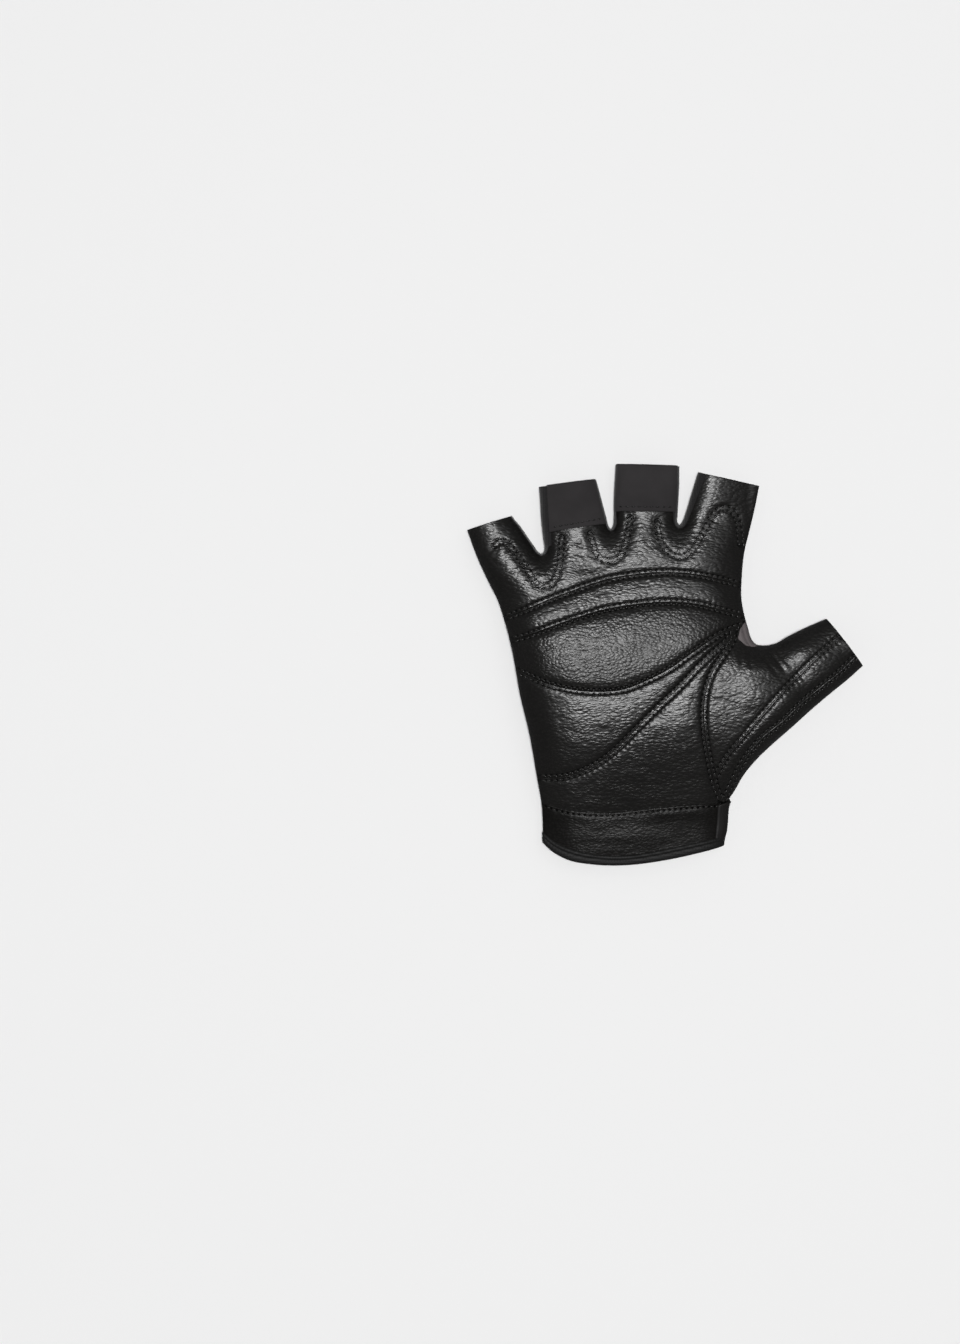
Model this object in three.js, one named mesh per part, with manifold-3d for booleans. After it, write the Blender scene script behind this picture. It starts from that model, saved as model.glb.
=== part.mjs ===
// A fingerless training glove for the right hand, lying palm up on its back.
// Millimetres. +Z is up towards the palm, +Y points along the fingers, +X towards the thumb.
// The origin is on the surface it lies on, under the middle of its outline.
import * as THREE from 'three';
import { mergeVertices } from 'three/addons/utils/BufferGeometryUtils.js';
import Module from 'manifold-3d';

const wasm = await Module();
wasm.setup();

// Driving sizes
const CLOTH_WALL = 1.5; // knit and finger leather
const PAD_WALL = 2.6; // leather with foam behind it, on the palm
const THUMB_WALL = 1.6;
const HEM_WALL = 2.4; // folded binding at the wrist
const STRAP_THICK = 1.6;
const TAB_RAISE = 0.8; // how far a pull tab stands proud of the leather
const SIDE_STRIP = [2, 9.6]; // the levels between which a strip lines the side of a finger
const GAP = 0.3; // clearance between neighbouring pieces
const SEAM_HEIGHT = 6; // the side seam between palm and back
const SETTLE = 1; // how far a round section is pressed flat where it rests
const GROOVE_WIDTH = 2.2; // half the width of a sewn valley between pads
const GROOVE_DEPTH = 1;
const STRAP_SEAT = STRAP_THICK + GAP; // the cuff rides this high, on the strap
const BELOW = -10; // cutting prisms start here
const ABOVE = 40; // and end here

// Each row is one cross-section: the outline point on the little-finger side, the one on the
// thumb side, how far its middle bows along +Y, and its lowest and highest level.
const section = (left, right, bow, low, high) => ({ left, right, bow, low, high });

const HEM_EDGE = section([-46, -67.3], [20.6, -66.6], -8.3, STRAP_SEAT, 14.5);
const HEM_TOP = section([-46.4, -64.5], [20.8, -64], -8.3, STRAP_SEAT, 15);
const HAND = [
  HEM_TOP,
  section([-47, -53], [22.5, -53], -3.4, STRAP_SEAT, 15.5),
  section([-47.6, -47.5], [25, -47.5], -1.5, STRAP_SEAT, 17),
  section([-49, -41], [29.4, -41], 0, STRAP_SEAT, 19),
  section([-50.6, -33], [31.5, -33], 0, 0, 21),
  section([-54.1, -17.7], [30, -15], 0, 0, 22.5),
  section([-58.3, 4.5], [31.5, 6], 0.5, 0, 22.5),
  section([-61.4, 16.5], [30.2, 19], 2.5, 0, 20.5),
  section([-65, 26], [29.1, 30], 6, 0, 17.5),
  section([-67, 31], [30.6, 42], 10, 0, 14.5),
  section([-66, 33.5], [30.5, 45], 12.3, 1.5, 11),
];

const FINGERS = {
  little: [
    section([-61, 19], [-43, 31], 0, 0, 12),
    section([-67.1, 31], [-48.7, 43], 0, 0, 13),
    section([-71.3, 41], [-53.5, 49.7], 0, 0, 12),
    section([-75.4, 51.1], [-58.4, 56.7], 0.4, 0, 11),
  ],
  ring: [
    section([-45.5, 30], [-21, 36], 0, 0, 12),
    section([-46, 44], [-21, 51.5], 0, 0, 13.5),
    section([-47.6, 57], [-23.8, 60.8], 0, 0, 12.5),
    section([-48, 67.6], [-26.8, 70.3], 0, 0, 11.5),
  ],
  middle: [
    section([-20, 38], [4.6, 39], 0, 0, 12),
    section([-19.6, 52.5], [4.4, 54.5], 0, 0, 13.5),
    section([-19.4, 65], [5, 65.5], 0, 0, 12.5),
    section([-18.8, 76], [5.5, 75.4], 0, 0, 11.5),
  ],
  index: [
    section([4, 36], [29, 33], 0, 0, 12),
    section([6.2, 53.5], [31.7, 49.2], 0, 0, 13.5),
    section([9.6, 63.5], [34.2, 59.5], 0, 0, 12.5),
    section([12.9, 73.2], [35.9, 68], 0, 0, 11.5),
  ],
};

const THUMB = [
  section([4, -12], [28, -42], 0, 1, 17),
  section([16, -2], [33.6, -37.2], 0, 0, 18.5),
  section([27, 3.5], [43, -28], 0, 0, 17.5),
  section([37, 6.8], [54, -17.2], 0, 0, 16),
  section([48.5, 11.7], [64.3, -8.3], 0, 0, 14.5),
  section([61.3, 17.4], [75.2, -0.6], 0, 0, 13),
];

// Sewn lines of the palm, each running past the outline where it meets it
const WEB = [27.6, 14.6]; // where the lines gather at the thumb web
const CUFF_CORNER = [20.8, -52.7];
const THUMB_CORNER = [18, -43.9];
const PALM_SEAMS = {
  knuckle: [[-69, 14.5], [-55.3, 19.9], [-34, 28.3], [-11.2, 34], [4, 34.7], [22.6, 31.7], [38, 27.5]],
  padTop: [[-67, 6.5], [-51.5, 11.2], [-37, 16.5], [-20, 21.5], [-4, 23.4], [12, 22.7], [23.4, 20.5], [40, 16.5]],
  padBottom: [[-66, 2.5], [-51.9, -4.4], [-37, -9.3], [-22, -10.3], [-9.7, -7], [5.9, 1.7], [19.2, 10.8], WEB,
    [42, 14]],
  diagonal: [[-60, -43], [-48.5, -43.1], [-38.6, -42.6], [-27.9, -38.6], [-14.3, -27.2], [4.8, -8.6], [15.4, 2.5],
    WEB],
  thumbBase: [WEB, [24, 6.6], [17.6, -3.4], [14.2, -14], [14.4, -26.8], THUMB_CORNER, CUFF_CORNER],
};
const THIN_SEAMS = {
  cuff: [[-56, -49.5], [-46.9, -52.6], [-38, -55.3], [-25, -56.4], [-9.7, -55.3], [10.1, -53.4], CUFF_CORNER,
    [36, -52.4]],
  thumbInner: [[76, 19.7], [65.9, 10.5], [51.1, -2.9], [35.2, -20], [26, -30.6], THUMB_CORNER],
  thumbOuter: [[80, 9.7], [70.9, 2.1], [58.7, -8.2], [44.3, -21], [35.9, -28.2], [29.5, -35.9], [25.3, -44.3],
    CUFF_CORNER],
};
const BACK_SEAMS = {
  cuff: [[-56, -49], [-46.9, -50.5], [-12, -52], [CUFF_CORNER[0], -50.5], [38, -48]],
  thumb: [[31, 17], [37.6, 4.4], [38.6, -0.6], [36.7, -10], [34, -17], [30.2, -32.5], [28, -52]],
};

// Outlines of the pieces that are sewn on or let in, seen from above
const STRAP_OUTLINE = [[36, -44], [20.7, -47.7], [2.7, -51.5], [-9.3, -52.3], [-16.5, -55.8], [-21.5, -60.5],
  [-24.1, -65.9], [-22.6, -68.6], [-17, -70.6], [-7, -71.8], [3, -72], [14.6, -71.2], [36, -67.5]];
const STRAP_FOLD = [[17.6, -50.5], [36, -50.5], [36, -71], [17.6, -72]];
const LOOP_OUTLINE = [[-16, -54], [-29, -54.5], [-31, -62.5], [-29.6, -69.5], [-17, -69.5]];
const CROTCH_OUTLINES = {
  little_ring: [[-62.5, 58], [-53.5, 44.6], [-50.5, 38.5], [-44, 38], [-42.6, 44], [-43.6, 70], [-53, 74]],
  ring_middle: [[-31, 73], [-25, 55], [-23.6, 48], [-21, 46.4], [-17.4, 48], [-16.6, 64], [-16, 79]],
  middle_index: [[2.4, 79], [1.4, 55], [2.6, 49.5], [8, 48.5], [10, 54], [16.6, 76]],
};
const TAB_OUTLINES = {
  ring: [[-43.7, 50], [-23, 53.5], [-25.6, 75], [-43.7, 75]],
  middle: [[-17, 58], [3, 58], [3.6, 80], [-16.6, 80]],
};

const leather = (tint) => new THREE.MeshStandardMaterial({ color: tint, roughness: 0.42, metalness: 0 });
const MATERIALS = {
  leather: leather('#1a1918'),
  thumbLeather: leather('#1e1d1c'),
  knit: new THREE.MeshStandardMaterial({ color: '#2b292b', roughness: 0.85, metalness: 0 }),
  tabCloth: new THREE.MeshStandardMaterial({ color: '#2a2b2c', roughness: 0.9, metalness: 0 }),
  elastic: new THREE.MeshStandardMaterial({ color: '#1c1c1c', roughness: 0.8, metalness: 0 }),
  binding: new THREE.MeshStandardMaterial({ color: '#161616', roughness: 0.7, metalness: 0 }),
  strap: new THREE.MeshStandardMaterial({ color: '#1d1d1d', roughness: 0.5, metalness: 0 }),
  pile: new THREE.MeshStandardMaterial({ color: '#0f0f0f', roughness: 1, metalness: 0 }),
};

function solidFromGeometry(geometry) {
  geometry.deleteAttribute('normal');
  geometry.deleteAttribute('uv');
  const merged = mergeVertices(geometry, 1e-4);
  return new wasm.Manifold(new wasm.Mesh({
    numProp: 3,
    vertProperties: new Float32Array(merged.attributes.position.array),
    triVerts: new Uint32Array(merged.index.array),
  }));
}

function meshFromSolid(name, solid, material) {
  const data = solid.getMesh();
  const geometry = new THREE.BufferGeometry();
  geometry.setAttribute('position', new THREE.BufferAttribute(new Float32Array(data.vertProperties), 3));
  geometry.setIndex(new THREE.BufferAttribute(new Uint32Array(data.triVerts), 1));
  geometry.computeVertexNormals();
  const mesh = new THREE.Mesh(geometry, material);
  mesh.name = name;
  return mesh;
}

// One closed ring of a cross-section. It is an oval that is pressed flat at its lowest level.
// `grow` moves it outwards, and `roof` is how much lower than that the top comes.
function ring(row, sides, grow = 0, roof = 0) {
  const halfX = (row.right[0] - row.left[0]) / 2;
  const halfY = (row.right[1] - row.left[1]) / 2;
  const half = Math.hypot(halfX, halfY);
  const reach = (half + grow) / half;
  const low = row.low - grow;
  const high = row.high + grow - roof;
  const middle = (low + high) / 2 - SETTLE;
  const rise = (high - low) / 2 + SETTLE;
  const points = [];
  for (let side = 0; side < sides; side++) {
    const angle = (2 * Math.PI * (side + 0.5)) / sides;
    const across = Math.sign(Math.cos(angle)) * Math.abs(Math.cos(angle)) ** 0.9 * reach;
    const up = Math.sign(Math.sin(angle)) * Math.abs(Math.sin(angle)) ** 0.9;
    points.push([
      row.left[0] + halfX * (1 + across),
      row.left[1] + halfY * (1 + across) + row.bow * (1 - across ** 4),
      Math.max(low, middle + rise * up),
    ]);
  }
  return points;
}

// A closed skin through rings that all have the same number of points
function skin(rings) {
  const sides = rings[0].length;
  const positions = [];
  const corner = (r, s) => positions.push(...rings[r][(s + sides) % sides]);
  const centre = (r) => {
    const sum = rings[r].reduce((total, p) => total.map((value, axis) => value + p[axis]), [0, 0, 0]);
    positions.push(...sum.map((value) => value / sides));
  };
  const last = rings.length - 1;
  for (let s = 0; s < sides; s++) {
    for (let r = 0; r < last; r++) {
      corner(r, s); corner(r + 1, s); corner(r + 1, s + 1);
      corner(r, s); corner(r + 1, s + 1); corner(r, s + 1);
    }
    corner(0, s); corner(0, s + 1); centre(0);
    corner(last, s + 1); corner(last, s); centre(last);
  }
  const geometry = new THREE.BufferGeometry();
  geometry.setAttribute('position', new THREE.Float32BufferAttribute(positions, 3));
  const solid = solidFromGeometry(geometry);
  if (solid.volume() > 0) return solid;
  return flipped(positions);
}

function flipped(positions) {
  const turned = [];
  for (let i = 0; i < positions.length; i += 9) {
    turned.push(...positions.slice(i, i + 3), ...positions.slice(i + 6, i + 9), ...positions.slice(i + 3, i + 6));
  }
  const geometry = new THREE.BufferGeometry();
  geometry.setAttribute('position', new THREE.Float32BufferAttribute(turned, 3));
  return solidFromGeometry(geometry);
}

// The same cross-section moved along the tube, away from its neighbour
function shifted(row, neighbour, distance) {
  const middle = (r) => [(r.left[0] + r.right[0]) / 2, (r.left[1] + r.right[1]) / 2];
  const [x1, y1] = middle(row);
  const [x0, y0] = middle(neighbour);
  const length = Math.hypot(x1 - x0, y1 - y0);
  const move = ([x, y]) => [x + ((x1 - x0) / length) * distance, y + ((y1 - y0) / length) * distance];
  return { ...row, left: move(row.left), right: move(row.right) };
}

const HAND_SIDES = 30;
const FINGER_SIDES = 16;
const MOUTH = 6; // how far a hollow is cut past an open end

function tube(rows, sides, grow = 0, roof = 0) {
  return skin(rows.map((row) => ring(row, sides, grow, roof)));
}

function hollow(rows, sides, wall, roof, openStart, openEnd) {
  const cut = [...rows];
  const last = rows.length - 1;
  if (openStart) cut.unshift(shifted(rows[0], rows[1], MOUTH));
  if (openEnd) cut.push(shifted(rows[last], rows[last - 1], MOUTH));
  else if (openStart) cut[cut.length - 1] = shifted(rows[last], rows[last - 1], -wall);
  return tube(cut, sides, -wall, roof);
}

function prism(outline, low = BELOW, high = ABOVE) {
  const shape = new THREE.Shape(outline.map(([x, y]) => new THREE.Vector2(x, y)));
  const geometry = new THREE.ExtrudeGeometry(shape, { depth: high - low, bevelEnabled: false });
  geometry.translate(0, 0, low);
  return solidFromGeometry(geometry);
}

const join = (solids) => solids.reduce((sum, solid) => sum.add(solid));

// The whole glove as one hollow form
const outer = join([
  tube(HAND, HAND_SIDES),
  tube(THUMB, HAND_SIDES),
  ...Object.values(FINGERS).map((rows) => tube(rows, FINGER_SIDES)),
]);
const inner = join([
  hollow(HAND, HAND_SIDES, CLOTH_WALL, PAD_WALL - CLOTH_WALL, true, false),
  hollow(THUMB, HAND_SIDES, THUMB_WALL, 0, false, true),
  ...Object.values(FINGERS).map((rows) => hollow(rows, FINGER_SIDES, CLOTH_WALL, 0, false, true)),
]);
const shell = outer.subtract(inner);

// The level of the top of the glove over a point
const outerMesh = outer.getMesh();
function topLevel(x, y) {
  const { vertProperties: v, triVerts: t } = outerMesh;
  let level = SEAM_HEIGHT;
  for (let i = 0; i < t.length; i += 3) {
    const [a, b, c] = [t[i] * 3, t[i + 1] * 3, t[i + 2] * 3];
    const area = (v[b] - v[a]) * (v[c + 1] - v[a + 1]) - (v[c] - v[a]) * (v[b + 1] - v[a + 1]);
    if (Math.abs(area) < 1e-9) continue;
    const q = ((x - v[a]) * (v[c + 1] - v[a + 1]) - (v[c] - v[a]) * (y - v[a + 1])) / area;
    const r = ((v[b] - v[a]) * (y - v[a + 1]) - (x - v[a]) * (v[b + 1] - v[a + 1])) / area;
    if (q < 0 || r < 0 || q + r > 1) continue;
    level = Math.max(level, v[a + 2] + q * (v[b + 2] - v[a + 2]) + r * (v[c + 2] - v[a + 2]));
  }
  return level;
}

const SEAM_STEP = 4.5;

// A cutter along a sewn line: a narrow slit, under a valley whose depth is `depth`
function seamCutter(points, depth) {
  const curve = new THREE.CatmullRomCurve3(points.map(([x, y]) => new THREE.Vector3(x, y, 0)));
  const steps = Math.ceil(curve.getLength() / SEAM_STEP);
  const rings = [];
  for (let i = 0; i <= steps; i++) {
    const at = curve.getPointAt(i / steps);
    const along = curve.getTangentAt(i / steps);
    const level = topLevel(at.x, at.y);
    const place = (side, z) => [at.x - along.y * side, at.y + along.x * side, z];
    const slit = GAP / 2;
    rings.push(depth > 0
      ? [place(-slit, BELOW), place(slit, BELOW), place(slit, level - depth), place(GROOVE_WIDTH, level + 0.6),
        place(GROOVE_WIDTH, ABOVE), place(-GROOVE_WIDTH, ABOVE), place(-GROOVE_WIDTH, level + 0.6),
        place(-slit, level - depth)]
      : [place(-slit, BELOW), place(slit, BELOW), place(slit, ABOVE), place(-slit, ABOVE)]);
  }
  return skin(rings);
}

const FAR = 120;
const BIG = [[-FAR, -FAR], [FAR, -FAR], [FAR, FAR], [-FAR, FAR]];
const above = (level) => prism(BIG, level, ABOVE);
const below = (level) => prism(BIG, BELOW, level);

// A copy of an outline whose points lie `distance` further out from its middle
function widened(outline, distance) {
  const cx = outline.reduce((sum, p) => sum + p[0], 0) / outline.length;
  const cy = outline.reduce((sum, p) => sum + p[1], 0) / outline.length;
  return outline.map(([x, y]) => {
    const length = Math.hypot(x - cx, y - cy);
    return [x + ((x - cx) / length) * distance, y + ((y - cy) / length) * distance];
  });
}

// The piece that lies over or under a point, once the seams are cut
function pieceAt(solids, [x, y]) {
  const probe = prism([[x - 0.5, y - 0.5], [x + 0.5, y - 0.5], [x + 0.5, y + 0.5], [x - 0.5, y + 0.5]]);
  return solids.find((solid) => solid.intersect(probe).volume() > 0.01);
}

// Cutting can shave off crumbs, so a piece is the largest body that is left
function mainBody(solid) {
  return solid.decompose().reduce((best, body) => (body.volume() > best.volume() ? body : best));
}

const crotches = Object.entries(CROTCH_OUTLINES);
const tabs = Object.entries(TAB_OUTLINES);
const crotchRoom = join(crotches.map(([, outline]) => (
  prism(widened(outline, GAP), SIDE_STRIP[0] - GAP, SIDE_STRIP[1] + GAP))));
const tabRoom = join(tabs.map(([, outline]) => prism(widened(outline, GAP))));

const palmCuts = join([
  ...Object.values(PALM_SEAMS).map((points) => seamCutter(points, GROOVE_DEPTH)),
  ...Object.values(THIN_SEAMS).map((points) => seamCutter(points, 0)),
]);
const palmPieces = shell.intersect(above(SEAM_HEIGHT + GAP / 2))
  .subtract(crotchRoom).subtract(tabRoom).subtract(palmCuts).decompose();

const backCuts = join(Object.values(BACK_SEAMS).map((points) => seamCutter(points, 0)));
const backPieces = shell.intersect(below(SEAM_HEIGHT - GAP / 2))
  .subtract(crotchRoom).subtract(backCuts).decompose();

const glove = new THREE.Group();
glove.name = 'fitness_glove';
const add = (name, solid, material) => glove.add(meshFromSolid(name, solid, material));

const PALM_PANELS = {
  palm_upper: { at: [-10, 41], material: MATERIALS.leather },
  knuckle_roll: { at: [-10, 28], material: MATERIALS.leather },
  centre_pad: { at: [-20, 5], material: MATERIALS.leather },
  diagonal_band: { at: [-35, -25], material: MATERIALS.leather },
  heel_panel: { at: [5, -35], material: MATERIALS.leather },
  thumb_panel: { at: [42, -4], material: MATERIALS.thumbLeather },
  thumb_strip: { at: [52, -8], material: MATERIALS.thumbLeather },
  thumb_edge: { at: [52, -16.5], material: MATERIALS.thumbLeather },
  cuff_palm: { at: [-10, -62], material: MATERIALS.leather },
};
for (const [name, panel] of Object.entries(PALM_PANELS)) {
  add(name, pieceAt(palmPieces, panel.at), panel.material);
}

const loopPrism = prism(LOOP_OUTLINE);
const cuffBack = pieceAt(backPieces, [-40, -58]);
add('back_panel', pieceAt(backPieces, [-10, 0]), MATERIALS.knit);
add('thumb_back', pieceAt(backPieces, [56, -2]), MATERIALS.knit);
add('cuff_back', cuffBack.subtract(prism(widened(LOOP_OUTLINE, GAP))), MATERIALS.elastic);
add('loop_patch', cuffBack.intersect(loopPrism), MATERIALS.pile);

for (const [name, outline] of crotches) {
  add(`fourchette_${name}`, mainBody(shell.intersect(prism(outline, ...SIDE_STRIP))), MATERIALS.knit);
}
for (const [name, outline] of tabs) {
  const raised = tube(FINGERS[name], FINGER_SIDES, TAB_RAISE)
    .subtract(hollow(FINGERS[name], FINGER_SIDES, CLOTH_WALL, 0, false, true));
  const tab = raised.intersect(prism(outline)).intersect(above(SEAM_HEIGHT + GAP / 2)).subtract(crotchRoom);
  add(`pull_tab_${name}`, tab, MATERIALS.tabCloth);
}

// The hem is a folded strip round the mouth, thicker inwards
const hemRows = [shifted(HEM_TOP, HEM_EDGE, -GAP), HEM_EDGE];
const hem = tube(hemRows, HAND_SIDES).subtract(hollow(hemRows, HAND_SIDES, HEM_WALL, 0, true, true));
add('hem_binding', hem, MATERIALS.binding);

// The closure strap comes round the thumb side of the cuff and lies flat across its back
const strapRows = [HEM_EDGE, HEM_TOP, HAND[1], HAND[2], HAND[3]];
const strapShell = tube(strapRows, HAND_SIDES, STRAP_SEAT).subtract(tube(strapRows, HAND_SIDES, GAP));
const underside = prism(STRAP_OUTLINE).intersect(below(SEAM_HEIGHT));
const fold = prism(STRAP_FOLD).intersect(above(SEAM_HEIGHT));
add('closure_strap', strapShell.intersect(underside.add(fold)), MATERIALS.strap);

export default glove;
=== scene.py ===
# %% [markdown]
# # A fingerless training glove, palm up
#
# The glove lies on its back on a pale floor. The palm is black goatskin sewn in padded panels, the back is
# a stretch knit under a glossy film, two fingers have matte pull tabs, and a strap closes the
# wrist. The CAD model gives the frame: where the glove is, how big it is, and what holds what. Here every
# soft panel is modelled again as a fine surface, and gets its finish.

# %% Load the frame
import math

import bpy
import numpy as np
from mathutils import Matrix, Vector


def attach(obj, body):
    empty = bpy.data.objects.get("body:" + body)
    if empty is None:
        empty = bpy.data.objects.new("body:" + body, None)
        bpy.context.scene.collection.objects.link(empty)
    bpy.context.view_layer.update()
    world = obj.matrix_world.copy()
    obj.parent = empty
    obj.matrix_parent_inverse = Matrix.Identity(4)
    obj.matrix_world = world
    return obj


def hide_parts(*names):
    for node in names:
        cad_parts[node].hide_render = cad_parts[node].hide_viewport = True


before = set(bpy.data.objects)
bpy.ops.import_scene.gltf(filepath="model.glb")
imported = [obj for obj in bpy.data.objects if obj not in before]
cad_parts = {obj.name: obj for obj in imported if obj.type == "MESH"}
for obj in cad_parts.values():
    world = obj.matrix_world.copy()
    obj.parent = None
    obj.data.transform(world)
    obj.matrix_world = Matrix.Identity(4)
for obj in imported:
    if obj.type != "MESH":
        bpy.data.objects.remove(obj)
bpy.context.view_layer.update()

# %% [markdown]
# ## Curves drawn one by one
#
# A sewn glove is cut from flat leather, so its shape is best told by lines seen from above: the outline,
# the slits between the fingers, and the seams. They could be Blender curves. Here each is a short table of
# points in millimetres, made smooth by one function, so that the same line can bound a panel, press a
# valley into it and carry a row of stitches.

# %% Curves
MM = 0.001


def smooth_curve(points, step=1.2):
    """A cubic through the points. Its slope at each is the mean of its two chords, weighted by their lengths.

    It is cut into even steps of about `step` mm along the chords."""
    knots = np.asarray(points, float)
    chord = np.linalg.norm(np.diff(knots, axis=0), axis=1)
    reach = np.concatenate([[0], np.cumsum(chord)])
    slope = np.diff(knots, axis=0) / chord[:, None]
    mixed = (chord[1:, None] * slope[:-1] + chord[:-1, None] * slope[1:]) / (chord[1:] + chord[:-1])[:, None]
    tangent = np.vstack([slope[:1], mixed, slope[-1:]])
    at = np.linspace(0, reach[-1], max(3, int(math.ceil(reach[-1] / step)) + 1))
    k = np.clip(np.searchsorted(reach, at, side="right") - 1, 0, len(chord) - 1)
    h = chord[k][:, None]
    t = ((at - reach[k]) / chord[k])[:, None]
    start = knots[k] * (2 * t**3 - 3 * t**2 + 1) + tangent[k] * h * (t**3 - 2 * t**2 + t)
    end = knots[k + 1] * (-2 * t**3 + 3 * t**2) + tangent[k + 1] * h * (t**3 - t**2)
    return start + end


def profile(table):
    """A smooth function of one number, through the (place, value) rows of a table."""
    line = smooth_curve(table, 0.5)
    return lambda x: np.interp(x, line[:, 0], line[:, 1])


# Outline of the glove from above, as six edges that run on past the open ends
OUTLINE = {
    "little_side": [(-45.6, -82), (-46.4, -67.5), (-47.3, -51.5), (-48.5, -45), (-51.7, -26.8),
                    (-55.3, -11.6), (-58.3, 5.1), (-61, 15.8), (-64, 24.9), (-67.1, 31), (-71.3, 40.1),
                    (-75.4, 51.1), (-78.6, 60)],
    "little_ring": [(-62.5, 67), (-58.4, 56.7), (-54.9, 52.3), (-52.4, 48.6), (-50, 45.2), (-48.3, 42.8),
                    (-46.9, 42.1), (-46.1, 43.4), (-46.4, 47), (-47.3, 55.3), (-47.7, 62.5), (-48.2, 69),
                    (-48.6, 78)],
    "ring_middle": [(-29, 80), (-26.2, 70.2), (-23.8, 61.4), (-22.2, 55.3), (-21.4, 52.4), (-20.7, 51.5),
                    (-20, 52.6), (-19.6, 56), (-19.6, 61.4), (-19, 74), (-18.4, 85)],
    "middle_index": [(5.7, 85), (5.5, 75.4), (5.4, 67.5), (4.8, 57), (4.7, 54.2), (5.5, 53.1), (6.6, 54.6),
                     (8.1, 58.6), (10, 65), (12.6, 73.3), (15.4, 82)],
    "index_side": [(39, 79), (35.9, 68), (34.6, 61.4), (33.2, 55.3), (31.7, 49.2), (30.2, 43.1), (29.2, 34),
                   (29, 24.5), (29.7, 20.1), (30.7, 16), (31.4, 13.6), (32, 11.2), (33, 9), (34.5, 7.6),
                   (36.6, 7.2), (40.6, 7.6), (43.1, 8.5), (45.5, 10), (51.1, 12.9), (61.3, 17.4),
                   (68.5, 20.5)],
    "thumb_side": [(82.6, 5.6), (75.2, -0.6), (69.7, -5.5), (62.1, -11.6), (54.9, -17.7), (48.1, -23.8),
                   (41.2, -29.8), (34.8, -35.9), (29.8, -42), (26.3, -48.1), (23.6, -52.6), (22.7, -60.2),
                   (22.2, -66.2), (22.2, -72), (21.6, -82)],
}
EDGES = {name: smooth_curve(points) for name, points in OUTLINE.items()}

# Lines that are sewn through the palm, from the little-finger side to the thumb side
WEB = (27.6, 14.4)
THUMB_CORNER = (18, -43.9)
CUFF_CORNER = (21.6, -52.9)
SEWN = {
    "knuckle": [(-68, 14.6), (-61, 17.6), (-52, 21.1), (-44.6, 24.3), (-34, 28.3), (-21.1, 32.4),
                (-9, 34.3), (2, 34.8), (12, 33.9), (22.6, 31.7), (38, 27.5)],
    "pad_top": [(-67, 6.5), (-58.5, 9.2), (-51.5, 11.2), (-44, 14), (-33, 17.8), (-24.9, 20.3),
                (-13.5, 22.4), (-2, 23.5), (8, 23.2), (15.4, 22), (23.4, 19.9), (40, 15.9)],
    "pad_bottom": [(-66, 1.8), (-58, -1.4), (-51.5, -4.6), (-45, -7.3), (-37, -9.3), (-26, -10.3),
                   (-17, -9.6), (-7, -5.9), (1.5, -1.4), (8.4, 3.4), (15, 8), (21, 11.8), WEB, (42, 19)],
    "diagonal": [(-60, -43.4), (-48.5, -43.1), (-38.6, -42.6), (-27.9, -38.6), (-21, -33.8), (-12, -25),
                 (-3, -16), (5.5, -7.9), (11, -2), (16.5, 3.4), (22.5, 8.6), WEB],
    "thumb_base": [CUFF_CORNER, THUMB_CORNER, (15.9, -34.5), (14.5, -26.8), (13.9, -18), (14.7, -10.5),
                   (17.2, -3.1), (21, 3), (24.8, 8.4), WEB],
    "thumb_inner": [THUMB_CORNER, (22.2, -36), (29, -27.4), (35.2, -20), (41.6, -12.7), (51.1, -2.9),
                    (58.7, 4.4), (65.9, 10.5), (75, 17.8)],
    "thumb_outer": [CUFF_CORNER, (25.3, -44.3), (29.5, -35.9), (35.9, -27.9), (44.3, -21.1), (51.1, -14.6),
                    (58.7, -8.4), (65.9, -2.7), (70.9, 2.1), (79, 9.6)],
    "cuff": [(-56, -49.5), (-46.9, -52.6), (-39.7, -54.9), (-30.6, -56.2), (-20, -56.4), (-9.7, -55.3),
             (0.2, -54.3), (10.1, -53.5), CUFF_CORNER, (34, -53.2)],
}
SEAMS = {name: smooth_curve(points) for name, points in SEWN.items()}
print("outline edges", len(EDGES), "sewn lines", len(SEAMS))

# %% [markdown]
# ## One height for the whole glove
#
# A padded glove is a pillow: flat in the middle and round at every edge. Cloth simulation would make one
# pillow of each panel, but would blur the seams that they share. So one function gives the height of the
# whole palm side. It follows from how far a point is from the edges: the distances to the six edges are
# blended, which leaves no crease along the middle of a finger, and a quarter circle turns distance into
# height. Sewn lines press valleys into it, swellings and short folds follow, and it leans down towards
# both sides.

# %% Height
EDGE_ROUND = 11.0  # mm from the edge to where the side has become the top
BROAD_ROUND = 32.0  # the slower crown of the whole palm
VALLEY = (0.75, 1.6)  # depth and half width of a sewn valley, mm
CROWN = (0.6, 4.8)  # and of the slow rise of each pad away from it
THUMB_CROWN = 0.15  # the share of the slow crown on the thumb; over the hand a profile gives it
LEAN = 0.006  # how fast the palm falls away towards the index-finger side, per square mm
LEAN_START, LEAN_REACH = 4, 28  # the x where it starts, and how far it goes on growing, mm
LEAN_LITTLE = 0.009  # and towards the little-finger side
LITTLE_REACH = 20  # over this last stretch, mm
FLOOR_CUFF = 1.9  # the cuff lies on the strap, so it is this much off the floor
WIDEST = 0.47  # the share of its height at which the glove is widest
THUMB_RUN = (0.79, 0.61)  # the way the thumb points, seen from above
FLAT_VALLEY = (0.35, 2.0)  # depth and half width of a seam without foam, mm
SLIT_VALLEY = (0.3, 2.2)  # of the rows sewn round the slits
THREAD_VALLEY = (0.22, 0.5)  # and under each row of thread
PUCKER = 0.08  # how far the leather rises and falls beside a row, stitch by stitch, mm
PUCKER_OFF, PUCKER_WIDE = 1.0, 0.7  # how far from the thread that is strongest, and its half width, mm

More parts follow.
